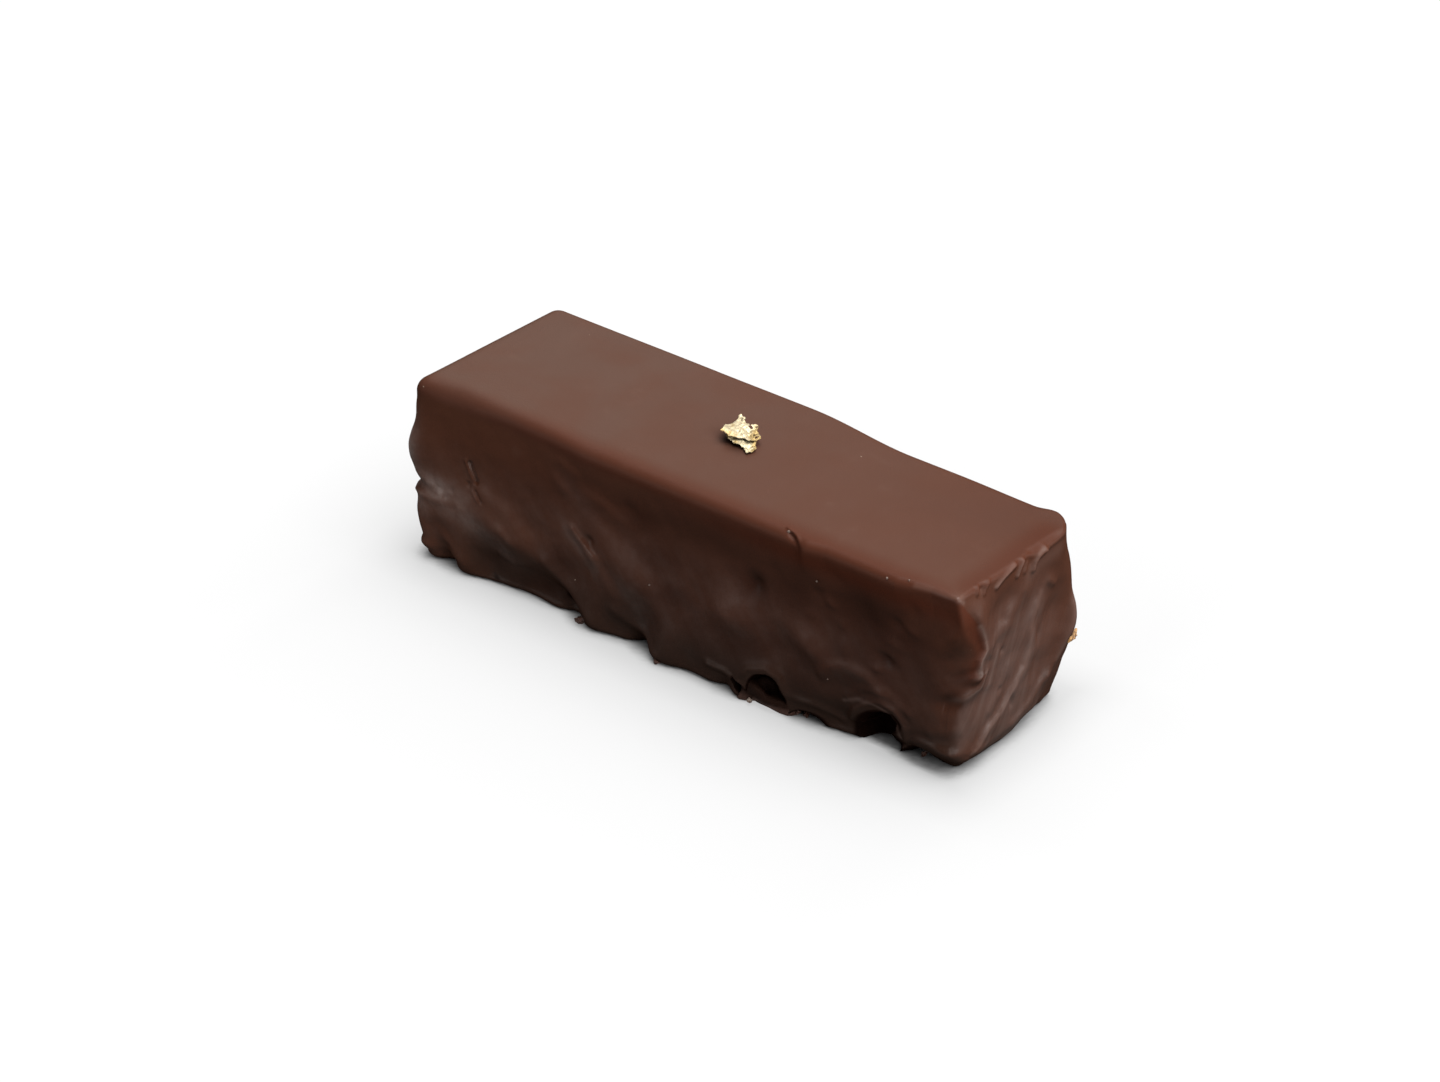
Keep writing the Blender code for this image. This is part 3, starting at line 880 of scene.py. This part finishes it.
# creases: direction in radians, how far apart, how high, seed
LEAF_CREASES = (
    (0.5, 2.4, 0.34, 11), (2.1, 2.0, 0.24, 12), (1.2, 0.9, 0.16, 13), (2.7, 0.7, 0.12, 14),
    (0.1, 0.4, 0.07, 15),
)
# outlines of its two parts, seen from above
LEAF_FLAP = (
    (-4.7, 0.6), (-4.6, 1.5), (-5.1, 2.7), (-4.7, 3.4), (-4.4, 4.9), (-5.2, 6.8), (-4.9, 7), (-4, 6.4),
    (-2.3, 4.9), (-1.9, 5.2), (-1.1, 4.6), (-1.2, 5.4), (-0.8, 6), (-0.1, 5.4), (0.7, 4), (1.4, 3.7),
    (2.3, 3.1), (2.7, 2.3), (2.2, 1.6), (1.5, 0.7), (-0.1, 0.5), (-1.2, 0.1), (-2.4, 0.1), (-3.7, 0.6),
    (-4.2, 0.5),
)
LEAF_LOBE = (
    (-3.9, 0.8), (-3.7, 0.6), (-2.5, -0.1), (-1.3, -0.8), (0.1, -1.3), (1.2, -1.3), (1.9, -1.5),
    (3, -2.3), (3.5, -2.3), (3.7, -1.4), (4, -0.7), (3.3, 0.4), (2.2, 1.6), (1, 1.9), (-0.8, 1.5),
    (-2.6, 1.3),
)
# holes torn in it: place, half size
LEAF_HOLES = (((-1, 4.3), 0.28), ((-0.5, 5.1), 0.2), ((0.9, 2.9), 0.22), ((1.7, 2.4), 0.2))


def flap_lift(x, y):
    edge = step(-(x + 0.55 * y), 0.4, 4.4) * step(-y, -4.5, -1)
    return 0.75 + 1.2 * edge + 0.3 * step(y, 4.6, 7)


def lobe_lift(x, y):
    return 0.15 + 1.1 * step(-x, 0.4, 3.6)


def is_inside(x, y, outline):
    """Which places lie inside a closed outline."""
    inside = np.zeros(len(x), dtype=bool)
    for (a, b), (c, d) in zip(outline, outline[1:] + outline[:1]):
        crosses = (b > y) != (d > y)
        with np.errstate(divide="ignore", invalid="ignore"):
            inside ^= crosses & (x < (c - a) * (y - b) / (d - b) + a)
    return inside


def leaf_sheet(outline, lift_of, seed):
    """Points and faces of a torn, creased sheet of leaf inside an outline."""
    x, y = np.meshgrid(np.arange(-6.0, 4.8, LEAF_CELL), np.arange(-3.0, 7.8, LEAF_CELL), indexing="ij")
    numbers = np.arange(x.size).reshape(x.shape)
    x, y = x.ravel(), y.ravel()
    flat = np.stack([x, y, np.zeros(len(x))], axis=-1)
    torn_x, torn_y = x + 0.12 * ripple(flat, 1.3, seed), y + 0.12 * ripple(flat, 1.3, seed + 1)
    keep = is_inside(torn_x, torn_y, outline)
    for hole, half_size in LEAF_HOLES:
        keep &= np.hypot(torn_x - hole[0], torn_y - hole[1]) > half_size
    faces = quads(numbers)
    used, faces = np.unique(faces[keep[faces].all(axis=1)], return_inverse=True)

    lift = np.zeros(len(x))
    for way, apart, high, number in LEAF_CREASES:
        along = (x * math.cos(way) + y * math.sin(way)) / apart + 0.5 * ripple(flat, 4, seed + number)
        lift += high * np.abs((along % 2.0) - 1.0)
    raised = lift_of(x, y)
    # what is lifted leans out over the coat, to the front and right
    lean = raised - 0.5
    points = np.stack([x + 0.9 * lean, y - 1.15 * lean, HEIGHT + lift + raised], axis=-1) + CENTRE
    return points[used], faces.reshape(-1, 4)


def make_leaf(look):
    """A torn, crumpled flake of leaf: a flap that ends in a fold over a lower lobe."""
    flap = leaf_sheet(LEAF_FLAP, flap_lift, 31)
    lobe = leaf_sheet(LEAF_LOBE, lobe_lift, 61)
    leaf = mesh_object("crumpled_leaf", *join([flap, lobe]), look)
    thick = leaf.modifiers.new("thickness", "SOLIDIFY")
    thick.thickness = LEAF_THICKNESS * MM
    thick.offset = -1.0
    return leaf


# Crumbs

# crumbs on and beside the bar: middle, half sizes, turn about Y
CHOCOLATE_CRUMBS = (
    ((47.9, -13.3, 0.6), (0.35, 0.35, 0.7), 25),
    ((54.2, -1.7, 0.45), (0.5, 0.65, 0.4), 0),
    ((53.4, 10.6, 0.5), (0.45, 0.6, 0.4), 0),
    ((24.6, -16.3, 0.5), (0.7, 0.6, 0.5), 0),
    ((26.2, -15.8, 0.4), (0.5, 0.5, 0.4), 20),
    ((-19.6, -17.9, 1.2), (1, 0.7, 0.6), -20),
    ((-2.6, -19, 0.5), (0.8, 0.5, 0.4), 0),
)
# the broken lump in the left hollow
HOLLOW_LUMP = (((17.2, -15.8, 0.3), (5.6, 3.2, 3.9), -8),)
# pale specks, most of them painted glints: middle, half size
PALE_SPECKS_AND_GLINTS = (
    ((16.9, -18.9, 0.9), 0.42),
    ((56.1, -13.6, 24.3), 0.18),
    ((28.9, -17.2, 27.9), 0.15),
    ((32.4, -18.6, 11.4), 0.13),
    ((-4.4, -18.3, 14.4), 0.12),
    ((22.4, -16, 34), 0.22),
    ((42.3, -16.9, 33.7), 0.16),
    ((45.7, -15.8, 34.1), 0.14),
)
# the golden crumb at the far foot of the right end
NUT_CRUMBS = (((57, 14.3, 12.7), (0.75, 1.3, 0.85), 30),)
CRUMB_BASE = 0.02


def make_crumbs(name, crumbs, seed, look):
    """Uneven lumps of one kind, as one mesh."""
    lumps = [lumpy_ball(*crumb, seed + number, 0.3, 4) for number, crumb in enumerate(crumbs)]
    points, faces = join(lumps)
    # what lies on the floor is flat below
    points[:, 2] = np.maximum(points[:, 2], CRUMB_BASE)
    return mesh_object(name, points, faces, look)


# Finishes

# linear colours
SIDE_LEFT = (0.0315, 0.0105, 0.0052, 1.0)
SIDE = (0.0250, 0.0085, 0.0046, 1.0)
SIDE_RIGHT = (0.0195, 0.0066, 0.0035, 1.0)
# the top's colours with a painted sheen
TOP_LEFT_SHEENED = (0.0328, 0.0168, 0.0118, 1.0)
TOP_RIGHT_SHEENED = (0.0312, 0.0120, 0.0071, 1.0)
WARM = (0.0325, 0.0113, 0.0060, 1.0)
DUSTY = (0.044, 0.023, 0.016, 1.0)
# painted shade for the low sides, the undersides of the swells and the right end
SHADED_LOW = (0.0082, 0.0045, 0.0030, 1.0)
# pale specks painted as glints
SPECK_GLINT = (0.45, 0.36, 0.28, 1.0)
# painted shade in the hollows and shaded places, and the painted shadow beside the leaf
DEEP_SHADE = (0.0025, 0.0010, 0.0007, 1.0)
# painted highlight on the crests
CREST_HIGHLIGHT = (0.085, 0.052, 0.042, 1.0)
# painted glow of light through the thin coat
THIN_GLOW = (0.0290, 0.0078, 0.0041, 1.0)
# the lump's painted reflection of the floor at its foot, and painted shade above
LUMP_FLOOR_REFLECTION = (0.040, 0.021, 0.016, 1.0)
LUMP_SHADED = (0.0060, 0.0022, 0.0012, 1.0)
SHINE_TINT = (1.0, 0.94, 0.90, 1.0)
LEAF_CREAM = (0.235, 0.195, 0.120, 1.0)
LEAF_GOLD = (0.170, 0.115, 0.038, 1.0)
NUT = (0.29, 0.160, 0.060, 1.0)
CRUMB = (0.026, 0.0105, 0.0062, 1.0)
# pale specks, most of them painted glints
PALE_GLINT = (0.11, 0.090, 0.075, 1.0)
# how light the floor is, and how much it glows
FLOOR = 0.075
FLOOR_GLOW = 0.68


def operator(operation, reflected=False):
    def join(socket, other):
        values = [other, socket] if reflected else [socket, other]
        return socket.finish.node("ShaderNodeMath", {"operation": operation}, values)

    return join


class Socket:
    """An output of a material's nodes, which can be used in sums."""

    def __init__(self, finish, link):
        self.finish = finish
        self.link = link

    __add__ = operator("ADD")
    __radd__ = operator("ADD", reflected=True)
    __sub__ = operator("SUBTRACT")
    __rsub__ = operator("SUBTRACT", reflected=True)
    __mul__ = operator("MULTIPLY")
    __rmul__ = operator("MULTIPLY", reflected=True)

    def ramp(self, start, end, low=0.0, high=1.0):
        """A smooth climb from low at start to high at end."""
        settings = {"interpolation_type": "SMOOTHSTEP"}
        sockets = {"Value": self, "From Min": start, "From Max": end, "To Min": low, "To Max": high}
        return self.finish.node("ShaderNodeMapRange", settings, sockets, "Result")


class Finish:
    """A material or a world, with its nodes added one by one."""

    def __init__(self, owner):
        owner.use_nodes = True
        self.tree = owner.node_tree
        self.tree.nodes.clear()

    def node(self, kind, settings=None, sockets=None, output=0):
        """A node of a type with its settings, the values or links of its sockets, and one output."""
        made = self.tree.nodes.new(kind)
        for name, value in (settings or {}).items():
            setattr(made, name, value)
        pairs = enumerate(sockets) if isinstance(sockets, list) else (sockets or {}).items()
        for name, value in pairs:
            if isinstance(value, Socket):
                self.tree.links.new(value.link, made.inputs[name])
            else:
                made.inputs[name].default_value = value
        return Socket(self, made.outputs[output]) if made.outputs else None

    def where(self, kind="Object"):
        return self.node("ShaderNodeTexCoord", None, None, kind)

    def part(self, vector, axis):
        return self.node("ShaderNodeSeparateXYZ", None, {"Vector": vector}, axis)

    def share(self, name):
        """What a mesh holds at its points under a name."""
        return self.node("ShaderNodeAttribute", {"attribute_name": name}, None, "Fac")

    def noise(self, where, scale, detail=3.0, roughness=0.5, distortion=0.0):
        sockets = {"Vector": where, "Scale": scale, "Detail": detail, "Roughness": roughness}
        return self.node("ShaderNodeTexNoise", None, sockets | {"Distortion": distortion}, "Fac")

    def streaks(self, across, along, scale_across, scale_along):
        sockets = {"X": across * scale_across, "Y": along * scale_along}
        return self.noise(self.node("ShaderNodeCombineXYZ", None, sockets), 1.0, 4.0, 0.55, 0.3)

    def mix(self, share, first, second):
        """Two colours mixed. A mix of colours has its sockets at these numbers."""
        return self.node("ShaderNodeMix", {"data_type": "RGBA"}, {0: share, 6: first, 7: second}, 2)

    def bump(self, height, depth, strength, over=None):
        sockets = {"Height": height, "Distance": depth, "Strength": strength}
        if over is not None:
            sockets["Normal"] = over
        return self.node("ShaderNodeBump", None, sockets, "Normal")

    def principled(self, colour, rough, sockets):
        sockets = {"Base Color": colour, "Roughness": rough} | sockets
        return self.node("ShaderNodeBsdfPrincipled", None, sockets)

    def surface(self, shader):
        self.node("ShaderNodeOutputMaterial", None, {"Surface": shader})


def new_finish(name):
    made = bpy.data.materials.new(name)
    return made, Finish(made)


# where the left end of the long sides gives way to the rest of them
PAST_LEFT = (-0.050, -0.042)


def coat_colour(f, where, cloudy, end):
    """Brown, with a painted sheen on the top and painted shade low down and where the coat hangs over."""
    along, across, height = (f.part(where, axis) for axis in "XYZ")
    broad = f.noise(where, 60.0, 4.0, 0.55, 0.4)
    # painted sheen: the top is a little duller and greyer than the sides, most of all at its left
    top = f.mix(along.ramp(-0.05, 0.05), TOP_LEFT_SHEENED, TOP_RIGHT_SHEENED)
    top = f.mix(along.ramp(0.018, 0.056) * across.ramp(-0.012, 0.014) * 0.8, top, SIDE)
    side = f.mix(along.ramp(-0.050, 0.010), SIDE_LEFT, SIDE)
    side = f.mix(along.ramp(0, 0.045) * (1.0 - end), side, SIDE_RIGHT)
    # a little painted shade on the right end
    side = f.mix(end * 0.15, side, SHADED_LOW)
    colour = f.mix(height.ramp(0.0305, 0.0336), side, top)
    colour = f.mix(broad.ramp(0.35, 0.68) * 0.4, colour, WARM)
    colour = f.mix(cloudy.ramp(0.6, 0.85) * 0.25, colour, DUSTY)
    # painted shade: darker towards the base, apart from the left, and on faces turned down under each
    # swell
    thick = height.ramp(0.014, 0.004) * along.ramp(*PAST_LEFT) * (0.7 + 0.3 * broad.ramp(0.35, 0.6))
    under = f.part(f.where("Normal"), "Z").ramp(0.12, -0.45)
    colour = f.mix(thick * (1.0 - 0.8 * end) * 0.8, colour, SHADED_LOW)
    colour = f.mix(under * 0.6, colour, SHADED_LOW)
    # painted shade in the hollows and shaded places, and the painted shadow beside the leaf
    colour = f.mix(f.share("deep_shade") * 0.92, colour, DEEP_SHADE)
    # painted glow: redder where light would shine through the thin coat
    colour = f.mix(f.share("thin_glow") * 0.7, colour, THIN_GLOW)
    # painted highlight along the crests
    colour = f.mix(f.share("crest") * 0.35, colour, CREST_HIGHLIGHT)
    # pale specks painted as glints
    cells = {"Vector": where, "Scale": 330.0}
    near_speck = f.node("ShaderNodeTexVoronoi", {"feature": "F1"}, cells, "Distance").ramp(0.035, 0.02)
    chance = f.node("ShaderNodeTexVoronoi", {"feature": "F1"}, cells, "Color")
    chance = f.node("ShaderNodeSeparateColor", None, {"Color": chance}, "Red").ramp(0.93, 0.95)
    return f.mix(near_speck * chance * 0.6, colour, SPECK_GLINT)


def coat_shine(f, where, end):
    """How much of the light the coat throws back as a sheen, from 0 to 1."""
    along, across, height = (f.part(where, axis) for axis in "XYZ")
    # glossiest half way down the sides and on the end, least of all just under the top edge
    past_left = along.ramp(*PAST_LEFT)
    band = height.ramp(0.027, 0.016) * (1.0 - 0.6 * height.ramp(0.013, 0.006) * past_left)
    band = band * along.ramp(0.010, 0.040, 1, 0.75)
    band = band + 0.9 * (1.0 - past_left) * height.ramp(0.018, 0.014) * height.ramp(0.008, 0.011)
    # the coat ran down in streaks, which lean to the right on the long side and to the left on the end
    side_streaks = f.streaks(0.8 * along + 0.6 * height, 0.6 * along - 0.8 * height, 300.0, 60.0)
    end_streaks = f.streaks(0.91 * across - 0.42 * height, 0.42 * across + 0.91 * height, 420.0, 60.0)
    mottle = f.noise(where, 480.0, 4.0, 0.6).ramp(0.3, 0.7, 0.72, 1.28)
    side = 0.0058 * band * side_streaks.ramp(0.25, 0.75, 0.55, 1.45) + 0.012 * f.share("sheen")
    on_end = end * height.ramp(0.034, 0.021) * across.ramp(0.002, 0.012, 1, 0.12)
    on_end = on_end * (0.0145 + 0.021 * end_streaks.ramp(0.25, 0.75))
    on_end = on_end * (1.0 - 0.8 * height.ramp(0.009, 0.004) * across.ramp(-0.008, -0.012))
    shine = 0.0035 + side * mottle + 0.0055 * height.ramp(0.0325, 0.0345) + on_end
    shine = shine + 0.010 * f.share("crest")
    return shine * (1.0 - 0.96 * f.share("deep_shade")) * (1.0 - 0.75 * f.share("thin_glow"))


def chocolate_finish():
    """Set dark chocolate: satin, a little uneven in colour, with a fine grain and a few pale specks
    painted as glints.
    """
    made, f = new_finish("dark_chocolate_coat")
    where = f.where()
    end = f.part(f.where("Normal"), "X").ramp(0.6, 0.95) * (1.0 - f.share("round"))
    cloudy = f.noise(where, 220.0, 4.0, 0.55)
    grain = f.noise(where, 1400.0, 3.0, 0.6)
    normal = f.bump(grain, 0.00006, 0.5)
    normal = f.bump(f.noise(where, 4200.0, 2.0, 0.6), 0.00002, 0.5, normal)
    rough = 0.34 + cloudy.ramp(0.3, 0.75) * 0.08 + grain.ramp(0.3, 0.7) * 0.04
    colour = coat_colour(f, where, cloudy, end)
    matt = f.principled(colour, 0.6, {"Normal": normal, "Specular IOR Level": 0.0})
    shiny = f.principled(SHINE_TINT, rough, {"Normal": normal, "Metallic": 1.0})
    f.surface(f.node("ShaderNodeMixShader", None, [coat_shine(f, where, end), matt, shiny]))
    return made


def gold_finish():
    made, f = new_finish("gold_leaf_finish")
    where = f.where()
    patches = f.noise(where, 420.0, 3.0, 0.5)
    # more golden at its right
    right = f.node("ShaderNodeVectorMath", {"operation": "DOT_PRODUCT"}, [where, (0.8, 0.6, 0.0)], "Value")
    golden = (patches + right.ramp(0.0012, 0.0030, 0, 0.13)).ramp(0.48, 0.64)
    colour = f.mix(golden, LEAF_CREAM, LEAF_GOLD)
    crumpled = f.bump(f.noise(where, 900.0, 5.0, 0.65, 1.5), 0.0002, 0.7)
    f.surface(f.principled(colour, 0.38 + patches * 0.2, {"Metallic": 0.6, "Normal": crumpled}))
    return made


def crumb_finish(name, dark, light, rough):
    """An uneven, grainy crumb between two colours."""
    made, f = new_finish(name)
    where = f.where()
    patches = f.noise(where, 900.0, 4.0, 0.6)
    colour = f.mix(patches.ramp(0.35, 0.7), dark, light)
    grainy = f.bump(f.noise(where, 2600.0, 3.0, 0.6), 0.0001, 0.7)
    f.surface(f.principled(colour, rough + 0.1 * patches, {"Specular IOR Level": 0.2, "Normal": grainy}))
    return made


def lump_finish():
    """A broken lump, with painted shade above and a paler painted reflection of the floor at its foot."""
    made, f = new_finish("broken_lump")
    where = f.where()
    height = f.part(where, "Z") + 0.0012 * f.noise(where, 700.0, 3.0)
    # painted shade above, painted reflection of the floor at the foot
    colour = f.mix(height.ramp(0.0009, 0.0028), LUMP_FLOOR_REFLECTION, LUMP_SHADED)
    grainy = f.bump(f.noise(where, 1800.0, 3.0, 0.6), 0.0001, 0.6)
    f.surface(f.principled(colour, 0.7, {"Specular IOR Level": 0.03, "Normal": grainy}))
    return made


def floor_finish():
    """A white floor that glows as if lit from below, with the bar's shadow painted into its glow."""
    made, f = new_finish("white_floor")
    # painted shadow: the glow falls where the bar hides the light
    glow = f.mix(f.share("open"), (0.0, 0.0, 0.0, 1.0), (1.0, 1.0, 1.0, 1.0))
    lit = {"Specular IOR Level": 0.0, "Emission Color": glow, "Emission Strength": FLOOR_GLOW}
    f.surface(f.principled((FLOOR, FLOOR, FLOOR, 1.0), 0.9, lit))
    return made


# Light

# soft lobes of the white studio: direction, cosines where the lobe starts and is full, strength
LOBES = (
    ((0.11, 0.22, 0.97), 0.80, 0.98, 17.5),
    ((0.90, 0.10, 0.35), 0.60, 0.98, 4.5),
    ((-0.52, 0.67, 0.53), 0.85, 0.99, 2.6),
    ((-0.52, -0.85, 0.10), 0.90, 0.99, 5.0),
    ((0.74, 0.66, 0.12), 0.88, 0.99, 6.0),
    ((0.93, -0.34, 0.08), 0.93, 0.99, 5.0),
)
STUDIO_DIM = 0.1


def studio_light():
    world = bpy.data.worlds.new("studio")
    bpy.context.scene.world = world
    f = Finish(world)
    way = f.where("Generated")
    total = None
    for direction, start, full, strength in LOBES:
        unit = Vector(direction).normalized()
        along = f.node("ShaderNodeVectorMath", {"operation": "DOT_PRODUCT"}, [way, tuple(unit)], "Value")
        lobe = along.ramp(start, full, 0, strength)
        total = lobe if total is None else total + lobe
    sockets = {"Color": (1.0, 1.0, 1.0, 1.0), "Strength": total + STUDIO_DIM}
    shine = f.node("ShaderNodeBackground", None, sockets)
    f.node("ShaderNodeOutputWorld", None, {"Surface": shine})


# The floor

# how far off a thing can still shade the floor, and how many times as far under the bar
SHADE_REACH = 4.0
SHADE_UNDER = 3.0
SHADE_RAYS = 80
SHADE_CELL = 0.5
# rays are tried this far beside the bar; the floor is dark this far in under it
SHADE_BESIDE = 7.0
DARK_INSIDE = 9.0
# the bar hides part of the studio from the floor beside it: how much, and how far that reaches
HIDDEN_SHARE = 0.27
HIDDEN_REACH = 8.0
FLOOR_DROP = 0.02
# the floor's cells are small this far round the bar, and its last lines lie this far out
FLOOR_FINE = 10.0
FLOOR_LINES = (90.0, 120.0, 2500.0)


def open_share(places, solid):
    """How much of the light each place on the floor gets past the solid, from 0 to 1."""
    corners = [vert.co for vert in solid.data.vertices]
    tree = BVHTree.FromPolygons(corners, [face.vertices for face in solid.data.polygons])
    turns = np.arange(SHADE_RAYS) * math.pi * (3.0 - math.sqrt(5.0))
    out = np.sqrt((np.arange(SHADE_RAYS) + 0.5) / SHADE_RAYS)
    ways = np.stack([out * np.cos(turns), out * np.sin(turns), np.sqrt(1.0 - out**2)], axis=-1)
    # most of the light comes from the right
    weights = 1.0 + 0.6 * ways[:, 0]
    weights /= weights.sum()
    rays = [(Vector(way), weight) for way, weight in zip(ways, weights)]
    beyond = np.abs(places[:, :2]) - (HALF_LENGTH, HALF_WIDTH)
    off = np.hypot(*np.maximum(beyond, 0.0).T)
    inside = -np.max(beyond, axis=1)
    share = np.where(inside > DARK_INSIDE, 0.0, 1.0)
    reach = SHADE_REACH * (1.0 + (SHADE_UNDER - 1.0) * step(inside, 0.5, 5)) * MM
    for number in np.flatnonzero((inside <= DARK_INSIDE) & (off < SHADE_BESIDE)):
        origin = Vector(places[number] * MM)
        hits = (weight for way, weight in rays if tree.ray_cast(origin, way, reach[number])[0] is not None)
        share[number] = step(1.0 - sum(hits), 0.12, 0.88)
    return share * (1.0 - HIDDEN_SHARE * np.exp(-off / HIDDEN_REACH))


def make_floor(solid):
    """A wide white floor that carries how much light each place gets."""

    def lines(half, middle):
        fine = np.arange(-half - FLOOR_FINE, half + FLOOR_FINE + 0.01, SHADE_CELL)
        return np.concatenate([np.negative(FLOOR_LINES[::-1]), fine, FLOOR_LINES]) + middle

    x, y = np.meshgrid(lines(HALF_LENGTH, CENTRE_X), lines(HALF_WIDTH, CENTRE_Y), indexing="ij")
    places = np.stack([x.ravel(), y.ravel(), np.zeros(x.size)], axis=-1)
    floor = mesh_object("floor", places, quads(np.arange(x.size).reshape(x.shape)), floor_finish())
    store(floor, "open", open_share(places, solid))
    floor.location.z = -FLOOR_DROP * MM


# Camera

CAMERA_AZIMUTH = 38.14
CAMERA_ELEVATION = 32.39
CAMERA_DISTANCE = 665.1
CAMERA_LENS = 100.0
AIM_HEIGHT = 16.76
SENSOR = 36.0
# how far the aim lies from the middle of the picture, in pixels of a picture this wide
PICTURE_WIDE = 1440.0
AIM_RIGHT = 19.16
AIM_DOWN = -6.07


def make_camera():
    azimuth, elevation = math.radians(CAMERA_AZIMUTH), math.radians(CAMERA_ELEVATION)
    level = Vector((math.sin(azimuth), -math.cos(azimuth), 0.0))
    back = level * math.cos(elevation) + Vector((0.0, 0.0, math.sin(elevation)))
    right = Vector((math.cos(azimuth), math.sin(azimuth), 0.0))
    up = back.cross(right)
    pixel = CAMERA_DISTANCE * SENSOR / (CAMERA_LENS * PICTURE_WIDE)
    place = Vector((CENTRE_X, CENTRE_Y, AIM_HEIGHT)) + back * CAMERA_DISTANCE
    place += up * (AIM_DOWN * pixel) - right * (AIM_RIGHT * pixel)
    data = bpy.data.cameras.new("camera")
    data.lens = CAMERA_LENS
    data.sensor_width = SENSOR
    data.clip_start = 0.01
    camera = bpy.data.objects.new("camera", data)
    camera.matrix_world = Matrix.Translation(place * MM) @ Matrix((right, up, back)).transposed().to_4x4()
    bpy.context.scene.collection.objects.link(camera)
    bpy.context.scene.camera = camera


def main():
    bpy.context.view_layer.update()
    bar = make_bar(chocolate_finish())
    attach(bar, "root")
    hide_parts("coated_bar")
    leaf = make_leaf(gold_finish())
    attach(leaf, "root")
    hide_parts("gold_leaf")
    glint_specks = [(place, (size, size, size), 0.0) for place, size in PALE_SPECKS_AND_GLINTS]
    kinds = (
        ("chocolate_crumbs", CHOCOLATE_CRUMBS, 300, crumb_finish("crumb_chocolate", SIDE, CRUMB, 0.5)),
        ("pale_specks_and_glints", glint_specks, 400, crumb_finish("crumb_pale_glint", DUSTY, PALE_GLINT, 0.6)),
        ("nut_crumb", NUT_CRUMBS, 500, crumb_finish("crumb_nut", CRUMB, NUT, 0.6)),
        ("hollow_lump", HOLLOW_LUMP, 600, lump_finish()),
    )
    for name, places, seed, look in kinds:
        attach(make_crumbs(name, places, seed, look), "root")
    make_floor(bar)
    studio_light()
    make_camera()
    bpy.context.scene.view_settings.view_transform = "Standard"


main()
